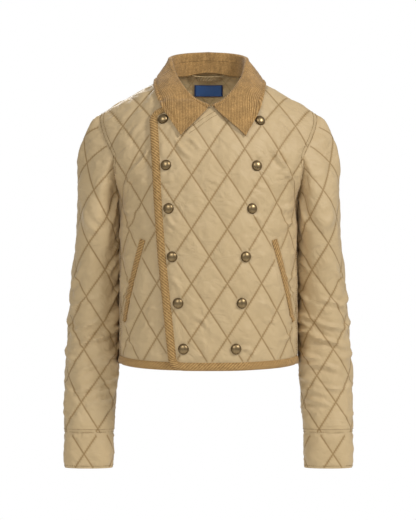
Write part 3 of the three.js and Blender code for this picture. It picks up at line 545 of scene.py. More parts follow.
@dataclass(frozen=True)
class Crease:
    """A soft ridge, or a trough where its depth is under 0, that bows and fades to its ends."""

    start: tuple[float, float]
    end: tuple[float, float]
    width: float
    depth: float
    bow: float = 0.0

    def height(self, u: Array, v: Array) -> Array:
        """How far it moves the cloth out, with a shallow trough along both its sides."""
        run = np.array(self.end) - np.array(self.start)
        length = math.hypot(*run)
        along, aside = run / length, np.array([-run[1], run[0]]) / length
        du, dv = u - self.start[0], v - self.start[1]
        share = (du * along[0] + dv * along[1]) / length
        inner = np.clip(share, 0, 1)
        off = (du * aside[0] + dv * aside[1] - self.bow * np.sin(math.pi * inner)) / self.width
        fade = np.where((share > 0) & (share < 1), np.sin(math.pi * inner) ** 0.9, 0)
        ridge = np.exp(-(np.abs(off) ** 1.6))
        trough = np.exp(-(((np.abs(off) - 1.9) / 0.8) ** 2))
        return self.depth * fade * (1.4 * ridge - 0.5 * trough)


@dataclass(frozen=True)
class Pressed:
    """A place where something sewn or set on the cloth holds its wadding flat."""

    start: tuple[float, float]
    end: tuple[float, float]
    flat: float
    full: float
    kept: float = 0.0


def off_line(u: Array, v: Array, start: Sequence[float], end: Sequence[float]) -> tuple[Array, Array]:
    """Measures points from a short straight line.

    Args:
        u, v: The points.
        start, end: The line's ends.

    Returns:
        Their distances, and how far along the line they lie, from 0 to 1.
    """
    run = (end[0] - start[0], end[1] - start[1])
    squared = max(run[0] ** 2 + run[1] ** 2, 1e-9)
    share = np.clip(((u - start[0]) * run[0] + (v - start[1]) * run[1]) / squared, 0, 1)
    return np.hypot(u - start[0] - run[0] * share, v - start[1] - run[1] * share), share


def off_edge(points: Array, edge: Array) -> Array:
    """The distance of many points from an open line.

    Args:
        points: The flat points.
        edge: The line's own points.

    Returns:
        One distance for each point.
    """
    nearest = np.full(len(points), np.inf)
    for start, end in zip(edge, edge[1:]):
        nearest = np.minimum(nearest, off_line(points[:, 0], points[:, 1], start, end)[0])
    return nearest


def inside(points: Array, outline: Array) -> Array:
    """Finds the points inside a closed outline.

    Args:
        points: The flat points.
        outline: The outline's corners in order.

    Returns:
        True for each point inside.
    """
    found = np.zeros(len(points), bool)
    u, v = points.T
    for (u1, v1), (u2, v2) in zip(outline, np.roll(outline, -1, axis=0)):
        if v1 != v2:
            crossed = (v1 > v) != (v2 > v)
            found ^= crossed & (u < u1 + (v - v1) / (v2 - v1) * (u2 - u1))
    return found


@dataclass
class Pattern:
    """The cut of the jacket: its flat edges, worked out on the form."""

    body: BodyForm
    sleeve: SleeveForm
    gap: float = 0.06
    hem_side: float = -500.0
    hem_front: float = -509.0
    hem_back: float = -506.0
    side_shift: float = 36.0
    waist: float = -330.0
    neck_front: float = -50.0
    underlap: float = 38.0
    flap_top: float = -47.0
    flap_neck: float = 18.0
    flap_side: tuple[float, float] = (-95.0, -463.0)
    corner_top: float = 17.0
    corner_bottom: float = 22.0
    lift: float = 5.6
    lift_from: float = 42.0
    lift_to: float = 96.0
    # height, and the overlapping front's free edge in x
    flap_edge: Table = Table(
        ((-509, -66), (-385, -78), (-300, -86), (-210, -92), (-125, -97.5), (-52, -101))
    )

    def flap_at(self, z: float) -> tuple[float, float]:
        """The free edge's flat place at a height."""
        return self.body.spot(Face.FRONT, float(self.flap_edge.read(1, z)), z)

    def side_seam(self, face: Face, v: float) -> float:
        """The side seam's length from the middle of a face."""
        quarter = self.body.row(face, v)[2][-1]
        return quarter - face.value * self.side_shift * (1 - smooth(self.waist, self.body.underarm, v))

    def hem_level(self, face: Face, u: float) -> float:
        """The hem's height."""
        share = min(abs(u) / self.side_seam(face, self.hem_side), 1)
        middle = self.hem_front if face is Face.FRONT else self.hem_back
        return mix(middle, self.hem_side, share**2.5)

    def neck_level(self, face: Face, x: float) -> float:
        """The neckline's level."""
        share = min(abs(x) / self.body.neck_half_width, 1)
        if face is Face.FRONT:
            return mix(self.neck_front, self.body.shoulder_level, 1 - math.sqrt(1 - share**2))
        return mix(self.body.nape_level, self.body.shoulder_level, share**3)

    def neck(self, face: Face, start: float, end: float) -> Array:
        """The neckline between two angles."""
        points = []
        for angle in np.linspace(start, end, max(2, round(abs(end - start) / 0.045))):
            x = self.body.neck_half_width * math.cos(angle)
            level = self.neck_level(face, x)
            v = min(float(self.body.cloth_up_to(level)), self.body.shoulder_v - self.gap)
            points.append((self.body.reach(face, x, v), v))
        return np.array(points)

    def armhole(self, face: Face) -> Array:
        """The armhole, from the underarm up to the shoulder."""
        flat = [self.body.armhole(face, angle) for angle in np.linspace(math.pi, 0, 81)]
        return np.array([(u - self.gap / 2, min(v, self.body.shoulder_v - self.gap)) for u, v in flat])

    def side(self, face: Face) -> Array:
        """The side seam, from the hem up to the underarm."""
        levels = np.linspace(self.hem_side, self.body.underarm, 60)[:-1]
        return np.array([(self.side_seam(face, v) - self.gap / 2, v) for v in levels])

    def hem(self, face: Face, start: float, end: float) -> Array:
        """The hem between two places along it."""
        return np.array([(u, self.hem_level(face, u)) for u in np.linspace(start, end, 90)])

    def hem_end(self, face: Face) -> float:
        """Where the hem meets the side seam."""
        return self.side_seam(face, self.hem_side) - self.gap / 2

    @staticmethod
    def corner(u: float, v: float, radius: float, start: float, end: float) -> Array:
        """A round corner about a centre, in degrees."""
        angle = np.radians(np.linspace(start, end, 16))
        return np.stack([u + radius * np.cos(angle), v + radius * np.sin(angle)], -1)

    def flap_line(self) -> Array:
        """The overlapping front's free edge, from under the collar round both corners."""
        top = float(self.body.cloth_up_to(self.flap_top))
        top_u = self.flap_at(self.flap_top - self.corner_top)[0] + self.corner_top
        hem_z = self.hem_level(Face.FRONT, self.flap_at(self.hem_side)[0])
        hem_u = self.flap_at(self.hem_front + self.corner_bottom)[0] + self.corner_bottom
        return np.concatenate(
            [
                [(u, top) for u in np.linspace(-self.flap_neck, top_u, 30)[:-1]],
                self.corner(top_u, top - self.corner_top, self.corner_top, 90, 180),
                [self.flap_at(z) for z in np.linspace(*self.flap_side, 60)],
                self.corner(hem_u, hem_z + self.corner_bottom, self.corner_bottom, 180, 270),
            ]
        )

    def flap_hem(self) -> Array:
        """The overlapping front's hem, from its round corner to the side seam."""
        return self.hem(Face.FRONT, self.flap_line()[-1][0] + 4, self.hem_end(Face.FRONT))

    def lift_at(self, u: Array) -> Array:
        """How far the overlapping front stands above the form."""
        return self.lift * (1 - smooth(self.lift_from, self.lift_to, u))

    def place_flap(self, u: Array, v: Array, w: Array) -> Array:
        """Puts flat places on the overlapping front."""
        return wrap(self.body.surface(Face.FRONT), u, v, w + self.lift_at(u))

    def place_front(self, u: Array, v: Array, w: Array) -> Array:
        """Puts flat places on the front beneath."""
        return wrap(self.body.surface(Face.FRONT), u, v, w)

    def place_back(self, u: Array, v: Array, w: Array) -> Array:
        """Puts flat places on the back."""
        return wrap(self.body.surface(Face.BACK), u, v, w)

    def place_sleeve(self, side: Side) -> Place:
        """Puts flat places on one sleeve."""
        surface = self.sleeve.surface(side)
        return lambda u, v, w: wrap(surface, u, v, w)


def mirrored(points: Array) -> Array:
    """An edge's mirror image, run the other way."""
    return points[::-1] * np.array([-1, 1])


def linear(colour: str) -> tuple[float, float, float, float]:
    """An sRGB hex colour as linear light."""
    parts = [int(colour[k : k + 2], 16) / 255 for k in (1, 3, 5)]
    light = [c / 12.92 if c <= 0.04045 else ((c + 0.055) / 1.055) ** 2.4 for c in parts]
    return (*light, 1.0)


def node(
    tree: bpy.types.NodeTree, kind: str, inputs: Optional[dict[Any, Any]] = None, **settings: Any
) -> Any:
    """Adds a node to a tree.

    Args:
        tree: The tree it goes into.
        kind: Its type's name.
        inputs: Values, other nodes' outputs or other nodes, which stand for their first output,
            by the input's name or number.
        settings: Its properties.

    Returns:
        The new node.
    """
    made = tree.nodes.new(kind)
    for name, value in settings.items():
        setattr(made, name, value)
    for key, value in (inputs or {}).items():
        if isinstance(value, bpy.types.Node):
            value = value.outputs[0]
        if isinstance(value, bpy.types.NodeSocket):
            tree.links.new(value, made.inputs[key])
        else:
            made.inputs[key].default_value = value
    return made


@dataclass(frozen=True)
class Finish:
    """What every finish has: a name, two tones and a gloss."""

    name: str
    light: str
    dark: str
    roughness: float

    def start(self) -> tuple[bpy.types.Material, bpy.types.NodeTree, Any, Any]:
        """A new material with its tree, its shader and its coordinates."""
        material = bpy.data.materials.new(self.name)
        material.use_nodes = True
        tree = material.node_tree
        tree.nodes.clear()
        shader = node(tree, "ShaderNodeBsdfPrincipled", {"Roughness": self.roughness})
        node(tree, "ShaderNodeOutputMaterial", {"Surface": shader})
        return material, tree, shader, node(tree, "ShaderNodeTexCoord")


@dataclass(frozen=True)
class QuiltedNylon(Finish):
    """Tight-woven, downproof nylon over wadding: smooth, with a faint sheen, fine wrinkles and painted shade
    along its stitched lines.
    """

    thread: float = 1.3  # the real one is about 0.2 mm, which no pixel shows
    # the colour of the painted shade in the stitched valleys, which partly also stands for the stitch holes
    valley_shade: str = "#927548"

    def make(self) -> bpy.types.Material:
        """The cloth's material."""
        material, tree, shader, where = self.start()
        broad = node(
            tree, NOISE, {"Vector": where.outputs["Object"], "Scale": 14.0, "Detail": 4.0, "Roughness": 0.6}
        )
        tone = node(tree, MIX, {0: broad, 6: linear(self.dark), 7: linear(self.light)}, data_type="RGBA")
        # Painted shade: the colour darkens towards the valley shade along the stitched lines, by the piece's
        # own attribute
        line = node(tree, "ShaderNodeAttribute", attribute_name="stitched")
        sunk = node(
            tree,
            MIX,
            {0: line.outputs["Fac"], 6: tone.outputs[2], 7: linear(self.valley_shade)},
            data_type="RGBA",
        )
        bands = WAVE_PERIOD / (self.thread * MM)
        warp, weft = (
            node(
                tree,
                WAVE,
                {"Vector": where.outputs["UV"], "Scale": bands, "Distortion": 0.6},
                bands_direction=direction,
            )
            for direction in ("X", "Y")
        )
        weave = node(tree, MATH, {0: warp.outputs["Fac"], 1: weft.outputs["Fac"]}, operation="MULTIPLY")
        fine = node(
            tree, NOISE, {"Vector": where.outputs["UV"], "Scale": 34.0, "Detail": 2.0, "Distortion": 1.6}
        )
        wrinkles = node(tree, BUMP, {"Height": fine, "Strength": 0.6, "Distance": 0.005})
        ridges = node(
            tree,
            NOISE,
            {"Vector": where.outputs["UV"], "Scale": 19.0, "Detail": 1.0, "Distortion": 1.0},
            noise_type="RIDGED_MULTIFRACTAL",
        )
        spots = node(tree, NOISE, {"Vector": where.outputs["UV"], "Scale": 9.0, "Detail": 1.0})
        patches = node(tree, RANGE, {"Value": spots, "From Min": 0.46, "From Max": 0.66})
        crinkles = node(tree, MATH, {0: ridges, 1: patches}, operation="MULTIPLY")
        crisp = node(
            tree, BUMP, {"Height": crinkles, "Strength": 0.45, "Distance": 0.003, "Normal": wrinkles}
        )
        threads = node(tree, BUMP, {"Height": weave, "Strength": 0.18, "Distance": 0.0002, "Normal": crisp})
        tree.links.new(sunk.outputs[2], shader.inputs["Base Color"])
        tree.links.new(threads.outputs["Normal"], shader.inputs["Normal"])
        shader.inputs["Sheen Weight"].default_value = 0.12
        shader.inputs["Specular IOR Level"].default_value = 0.35
        return material


@dataclass(frozen=True)
class Corduroy(Finish):
    """Cotton corduroy: soft raised wales with painted shade on the ground between, and a matt nap."""

    wale: float = 2.7  # the real one is 2.3 mm, drawn a little wider so that it shows

    def make(self) -> bpy.types.Material:
        """The corduroy's material; UV runs across the wales."""
        material, tree, shader, where = self.start()
        bands = WAVE_PERIOD / (self.wale * MM)
        wales = node(
            tree,
            WAVE,
            {"Vector": where.outputs["UV"], "Scale": bands, "Distortion": 1.2, "Detail": 3.0},
            bands_direction="X",
        )
        nap = node(tree, NOISE, {"Vector": where.outputs["Object"], "Scale": 420.0, "Detail": 3.0})
        worn = node(
            tree,
            NOISE,
            {"Vector": where.outputs["Object"], "Scale": 62.0, "Detail": 5.0, "Roughness": 0.65},
        )
        # Painted shade: the ground between the wales is darker than their tops
        ground = node(
            tree,
            MIX,
            {0: wales.outputs["Fac"], 6: linear(self.dark), 7: linear(self.light)},
            data_type="RGBA",
        )
        specks = node(
            tree, RANGE, {"Value": nap, "From Min": 0.25, "From Max": 0.75, "To Min": 0.72, "To Max": 1.28}
        )
        patches = node(
            tree, RANGE, {"Value": worn, "From Min": 0.32, "From Max": 0.66, "To Min": 0.76, "To Max": 1.14}
        )
        both = node(tree, MATH, {0: specks, 1: patches}, operation="MULTIPLY")
        shaded = node(
            tree, "ShaderNodeVectorMath", {0: ground.outputs[2], "Scale": both}, operation="SCALE"
        )
        raised = node(tree, BUMP, {"Height": wales.outputs["Fac"], "Strength": 0.55, "Distance": 0.0009})
        fuzz = node(tree, BUMP, {"Height": nap, "Strength": 0.5, "Distance": 0.0006, "Normal": raised})
        tree.links.new(shaded.outputs["Vector"], shader.inputs["Base Color"])
        tree.links.new(fuzz.outputs["Normal"], shader.inputs["Normal"])
        shader.inputs["Sheen Weight"].default_value = 0.25
        shader.inputs["Specular IOR Level"].default_value = 0.1
        return material


@dataclass(frozen=True)
class TwillTape(Finish):
    """Cotton twill tape: slanting ribs, matt, with a slubby tone."""

    rib: float = 2.8  # the real ribs are about 1 mm, drawn coarser so that they show

    def make(self) -> bpy.types.Material:
        """The tape's material; UV runs along and across the tape."""
        material, tree, shader, where = self.start()
        bands = WAVE_PERIOD / (self.rib * MM)
        ribs = node(
            tree,
            WAVE,
            {"Vector": where.outputs["UV"], "Scale": bands, "Distortion": 0.7, "Detail": 2.0},
            bands_direction="DIAGONAL",
        )
        slub = node(tree, NOISE, {"Vector": where.outputs["Object"], "Scale": 240.0, "Detail": 4.0})
        tone = node(tree, MATH, {0: ribs.outputs["Fac"], 1: 0.6, 2: slub}, operation="MULTIPLY_ADD")
        share = node(tree, RANGE, {"Value": tone, "From Min": 0.4, "From Max": 1.2})
        colour = node(tree, MIX, {0: share, 6: linear(self.dark), 7: linear(self.light)}, data_type="RGBA")
        raised = node(tree, BUMP, {"Height": tone, "Strength": 0.8, "Distance": 0.001})
        tree.links.new(colour.outputs[2], shader.inputs["Base Color"])
        tree.links.new(raised.outputs["Normal"], shader.inputs["Normal"])
        shader.inputs["Sheen Weight"].default_value = 0.15
        shader.inputs["Specular IOR Level"].default_value = 0.2
        return material


@dataclass(frozen=True)
class LabelSatin(Finish):
    """Woven polyester satin: a plain field, a darker border, and fine weft ribs painted lighter in bands as a
    glint.
    """

    rib: float = 1.4  # the real ribs are about 0.3 mm, drawn coarser so that they show
    glint: str = "#446fae"

    def make(self) -> bpy.types.Material:
        """The label's material; UV runs from -1 to 1 over the label."""
        material, tree, shader, where = self.start()
        parts = node(tree, "ShaderNodeSeparateXYZ", {0: where.outputs["UV"]})
        wide, high = (node(tree, MATH, {0: parts.outputs[axis]}, operation="ABSOLUTE") for axis in (0, 1))
        far = node(tree, MATH, {0: wide, 1: -0.05, 2: high}, operation="MULTIPLY_ADD")
        edge = node(tree, MATH, {0: wide, 1: far}, operation="MAXIMUM")
        border = node(tree, RANGE, {"Value": edge, "From Min": 0.86, "From Max": 0.92})
        weft = node(
            tree,
            WAVE,
            {"Vector": where.outputs["Object"], "Scale": WAVE_PERIOD / (self.rib * MM), "Distortion": 0.8},
            bands_direction="Z",
        )
        # Painted glint: the weft bands lighten the field towards the glint colour
        field_tone = node(
            tree,
            MIX,
            {0: weft.outputs["Fac"], 6: linear(self.light), 7: linear(self.glint)},
            data_type="RGBA",
        )
        colour = node(
            tree, MIX, {0: border, 6: field_tone.outputs[2], 7: linear(self.dark)}, data_type="RGBA"
        )
        raised = node(tree, BUMP, {"Height": weft.outputs["Fac"], "Strength": 0.4, "Distance": 0.0002})
        tree.links.new(colour.outputs[2], shader.inputs["Base Color"])
        tree.links.new(raised.outputs["Normal"], shader.inputs["Normal"])
        return material


@dataclass(frozen=True)
class AntiqueBrass(Finish):
    """Pressed and antiqued brass: warm on the worn dome, brown where the patina stays."""

    def make(self) -> bpy.types.Material:
        """The metal's material; the attribute says how sunk a place is."""
        material, tree, shader, where = self.start()
        sunk = node(tree, "ShaderNodeAttribute", attribute_name="sunk")
        blotches = node(tree, NOISE, {"Vector": where.outputs["Object"], "Scale": 300.0, "Detail": 5.0})
        patina = node(tree, MATH, {0: blotches, 1: 0.5, 2: sunk.outputs["Fac"]}, operation="MULTIPLY_ADD")
        share = node(tree, RANGE, {"Value": patina, "From Min": 0.1, "From Max": 0.9})
        colour = node(tree, MIX, {0: share, 6: linear(self.light), 7: linear(self.dark)}, data_type="RGBA")
        gloss = node(tree, RANGE, {"Value": patina, "To Min": self.roughness, "To Max": 0.55})
        tree.links.new(colour.outputs[2], shader.inputs["Base Color"])
        tree.links.new(gloss.outputs["Result"], shader.inputs["Roughness"])
        shader.inputs["Metallic"].default_value = 1.0
        return material


@dataclass(frozen=True)
class SpunThread(Finish):
    """Spun polyester thread, matt, with a slight change of tone along it."""

    def make(self) -> bpy.types.Material:
        """The thread's material."""
        material, tree, shader, where = self.start()
        twist = node(tree, NOISE, {"Vector": where.outputs["Object"], "Scale": 160.0, "Detail": 2.0})
        colour = node(tree, MIX, {0: twist, 6: linear(self.dark), 7: linear(self.light)}, data_type="RGBA")
        tree.links.new(colour.outputs[2], shader.inputs["Base Color"])
        shader.inputs["Specular IOR Level"].default_value = 0.25
        return material


class Stock:
    """The cloths, metal and threads that the jacket is made of."""

    def __init__(self) -> None:
        """Makes each finish once."""
        self.shell = QuiltedNylon("quilted nylon", "#c6ae86", "#b69d74", 0.56).make()
        # Painted light: the lining's tones are set lighter to stand in for light reaching the inside of the
        # back
        self.lining = QuiltedNylon("nylon lining", "#dac192", "#cbb080", 0.6).make()
        self.corduroy = Corduroy("fine-wale corduroy", "#b8925e", "#8d6b3d", 0.95).make()
        self.tape = TwillTape("cotton twill tape", "#c29c64", "#7d5f37", 0.9).make()
        self.loop = TwillTape("nylon hanger tape", "#d6be92", "#bda274", 0.75).make()
        self.label = LabelSatin("woven satin label", "#37609e", "#223a66", 0.5).make()
        self.brass = AntiqueBrass("antiqued brass", "#a28b66", "#3a2b1a", 0.32).make()
        self.thread = SpunThread("spun thread", "#8c6e42", "#6d5431", 0.8).make()
        self.tape_thread = SpunThread("golden thread", "#cfae78", "#a88450", 0.8).make()
        self.quilt_thread = SpunThread("quilting thread", "#9a7c4f", "#84683d", 0.8).make()


def mesh_object(
    name: str,
    points: Array,
    faces: list[list[int]],
    materials: Sequence[bpy.types.Material],
    uv: Optional[Array] = None,
    second: Optional[Array] = None,
    values: Optional[dict[str, Array]] = None,
    sharp: float = 48.0,
) -> bpy.types.Object:
    """Makes an object from points in millimetres.

    Args:
        name: The piece's name.
        points: Its points.
        faces: Each face's point numbers, anticlockwise from outside.
        materials: Its materials.
        uv: Each point's place on the flat cloth, in metres.
        second: Which faces take the second material.
        values: Attributes by name, one value a point.
        sharp: The angle in degrees past which an edge stays sharp.

    Returns:
        The object, at the origin.
    """
    mesh = bpy.data.meshes.new(name)
    mesh.from_pydata((points * MM).tolist(), [], faces)
    for material in materials:
        mesh.materials.append(material)
    if uv is not None:
        corners = np.zeros(len(mesh.loops), int)
        mesh.loops.foreach_get("vertex_index", corners)
        mesh.uv_layers.new(name="Flat cloth").data.foreach_set("uv", uv[corners].astype(np.float32).ravel())
    if second is not None:
        mesh.polygons.foreach_set("material_index", second.astype(np.int32))
    for label, value in (values or {}).items():
        mesh.attributes.new(label, "FLOAT", "POINT").data.foreach_set("value", value.astype(np.float32))
    mesh.shade_smooth()
    mesh.set_sharp_from_angle(angle=math.radians(sharp))
    mesh.update()
    made = bpy.data.objects.new(name, mesh)
    bpy.context.scene.collection.objects.link(made)
    return made


def grid_faces(rows: int, columns: int, closed: bool = False) -> list[list[int]]:
    """The quads of a grid of points.

    Args:
        rows, columns: The grid's size; points run by rows.
        closed: Whether the last column joins the first.

    Returns:
        Four point numbers for each quad.
    """
    faces = []
    for i in range(rows - 1):
        for j in range(columns if closed else columns - 1):
            k = (j + 1) % columns
            faces.append([i * columns + j, i * columns + k, (i + 1) * columns + k, (i + 1) * columns + j])
    return faces


def wall_object(
    name: str, grid: Array, thickness: float, materials: Sequence[bpy.types.Material], uv: Array
) -> bpy.types.Object:
    """A closed wall through a grid of points, half its thickness to each side.

    Args:
        name: The piece's name.
        grid: Points in rows and columns; rows cross columns towards the outside.
        thickness: The wall's thickness, thinned towards its free edges.
        materials: Its materials.
        uv: The grid's flat places, in metres.

    Returns:
        The wall's object.
    """
    rows, columns = grid.shape[:2]
    along = np.gradient(grid, axis=0)
    across = np.gradient(grid, axis=1)
    outward = unit(np.cross(along, across))
    front = (grid + outward * thickness / 2).reshape(-1, 3)
    behind = (grid - outward * thickness / 2).reshape(-1, 3)
    size = rows * columns
    faces = grid_faces(rows, columns)
    faces = [face[::-1] for face in faces] + [[k + size for k in face] for face in faces]
    ring = list(range(columns))
    ring += [i * columns + columns - 1 for i in range(1, rows)]
    ring += [(rows - 1) * columns + j for j in range(columns - 2, -1, -1)]
    ring += [i * columns for i in range(rows - 2, 0, -1)]
    faces += [[a, b, b + size, a + size] for a, b in zip(ring, ring[1:] + ring[:1])]
    flat = uv.reshape(-1, 2)
    points = np.concatenate([front, behind])
    return mesh_object(name, points, faces, materials, np.concatenate([flat, flat]))


class StitchRows:
    """Collects the places of stitches, and makes them with one tree of nodes."""

    tree: Optional[bpy.types.NodeTree] = None
    stand_off = 0.12

    def __init__(self) -> None:
        """Starts with no stitch."""
        self.at: list[Array] = []
        self.along: list[Array] = []
        self.outward: list[Array] = []

    def add(self, flat: Array, place: Place, height: Callable[[Array, Array], Array], pitch: float) -> None:
        """Adds a row along a line on the flat cloth.

        Args:
            flat: The line's points.
            place: Puts flat places on the garment.
            height: The cloth's height there.
            pitch: The distance between stitches.
        """
        self.add_points(resampled(flat, pitch), place, height)

    def add_points(self, points: Array, place: Place, height: Callable[[Array, Array], Array]) -> None:
        """Adds one stitch at each point of a line, turned along it.

        Args:
            points: The line's flat points.
            place: Puts flat places on the garment.
            height: The cloth's height there.
        """
        if len(points) < 3:
            return
        u, v = points.T
        w = height(u, v) + self.stand_off
        here = place(u, v, w)
        self.at.append(here)
        self.along.append(unit(np.gradient(here, axis=0)))
        self.outward.append(unit(place(u, v, w + 1) - here))

    def add_line(self, points: Array, outward: Array, pitch: float) -> None:
        """Adds a row along a line in space.

        Args:
            points: The line's points.
            outward: The way the surface faces at each.
            pitch: The distance between stitches.
        """
        length = lengths_along(points)
        wanted = np.arange(0, length[-1], pitch)
        here, facing = (
            np.stack([np.interp(wanted, length, axis) for axis in values.T], -1)
            for values in (points, outward)
        )
        self.at.append(here)
        self.along.append(unit(np.gradient(here, axis=0)))
        self.outward.append(unit(facing))

    @classmethod
    def make_tree(cls) -> bpy.types.NodeTree:
        """The tree that lays a small spindle of thread at each point."""
        tree = bpy.data.node_groups.new("Stitch rows", "GeometryNodeTree")
        tree.interface.new_socket("Geometry", in_out="OUTPUT", socket_type="NodeSocketGeometry")
        tree.interface.new_socket("Geometry", in_out="INPUT", socket_type="NodeSocketGeometry")
        for name, value in (("Stitch length", 2.6), ("Thread thickness", 0.6), ("Unevenness", 0.12)):
            made = tree.interface.new_socket(name, in_out="INPUT", socket_type="NodeSocketFloat")
            made.default_value = value
        tree.interface.new_socket("Seed", in_out="INPUT", socket_type="NodeSocketInt")
        tree.interface.new_socket("Thread", in_out="INPUT", socket_type="NodeSocketMaterial")
        given = node(tree, "NodeGroupInput")
        spindle = node(tree, "GeometryNodeMeshIcoSphere", {"Radius": 0.5 * MM, "Subdivisions": 1})
        size = node(
            tree,
            "ShaderNodeCombineXYZ",
            {
                "X": given.outputs["Stitch length"],
                "Y": given.outputs["Thread thickness"],
                "Z": given.outputs["Thread thickness"],
            },
        )
        stitch = node(tree, "GeometryNodeTransform", {"Geometry": spindle, "Scale": size})
        along, outward = (
            node(tree, "GeometryNodeInputNamedAttribute", {"Name": name}, data_type="FLOAT_VECTOR")
            for name in ("along", "outward")
        )
        laid = node(tree, ALIGN, {"Vector": along.outputs["Attribute"]}, axis="X")
        turned = node(
            tree,
            ALIGN,
            {"Rotation": laid, "Vector": outward.outputs["Attribute"]},
            axis="Z",
            pivot_axis="X",
        )
        least, most = (
            node(tree, MATH, {0: 1.0, 1: given.outputs["Unevenness"]}, operation=kind)
            for kind in ("SUBTRACT", "ADD")
        )
        uneven = node(
            tree,
            "FunctionNodeRandomValue",
            {2: least, 3: most, "Seed": given.outputs["Seed"]},
            data_type="FLOAT",
        )
        rows = node(
            tree,
            "GeometryNodeInstanceOnPoints",
            {
                "Points": given.outputs["Geometry"],
                "Instance": stitch,
                "Rotation": turned,
                "Scale": uneven.outputs[1],
            },
        )
        real = node(tree, "GeometryNodeRealizeInstances", {"Geometry": rows})
        dyed = node(
            tree, "GeometryNodeSetMaterial", {"Geometry": real, "Material": given.outputs["Thread"]}
        )
        node(tree, "NodeGroupOutput", {"Geometry": dyed})
        return tree

    def make(
        self, name: str, thread: bpy.types.Material, length: float, thickness: float, seed: int = 3
    ) -> bpy.types.Object:
        """Makes all the rows one object.

        Args:
            name: The piece's name.
            thread: Its material.
            length, thickness: One stitch's size in millimetres.
            seed: Which unevenness its stitches have.

        Returns:
            The object, a plain mesh.
        """
        if StitchRows.tree is None:
            StitchRows.tree = self.make_tree()
        mesh = bpy.data.meshes.new(name)
        mesh.from_pydata((np.concatenate(self.at) * MM).tolist(), [], [])
        for label, rows in (("along", self.along), ("outward", self.outward)):
            vectors = np.concatenate(rows).astype(np.float32).ravel()
            mesh.attributes.new(label, "FLOAT_VECTOR", "POINT").data.foreach_set("vector", vectors)
        carrier = bpy.data.objects.new(name, mesh)
        bpy.context.scene.collection.objects.link(carrier)
        modifier = carrier.modifiers.new("Stitches", "NODES")
        modifier.node_group = StitchRows.tree
        given = {"Stitch length": length, "Thread thickness": thickness, "Seed": seed, "Thread": thread}
        for socket in StitchRows.tree.interface.items_tree:
            if socket.in_out == "INPUT" and socket.name in given:
                modifier[socket.identifier] = given[socket.name]
        carrier.update_tag()
        graph = bpy.context.evaluated_depsgraph_get()
        plain = bpy.data.meshes.new_from_object(carrier.evaluated_get(graph))
        carrier.modifiers.remove(modifier)
        carrier.data = plain
        plain.shade_smooth()
        return carrier


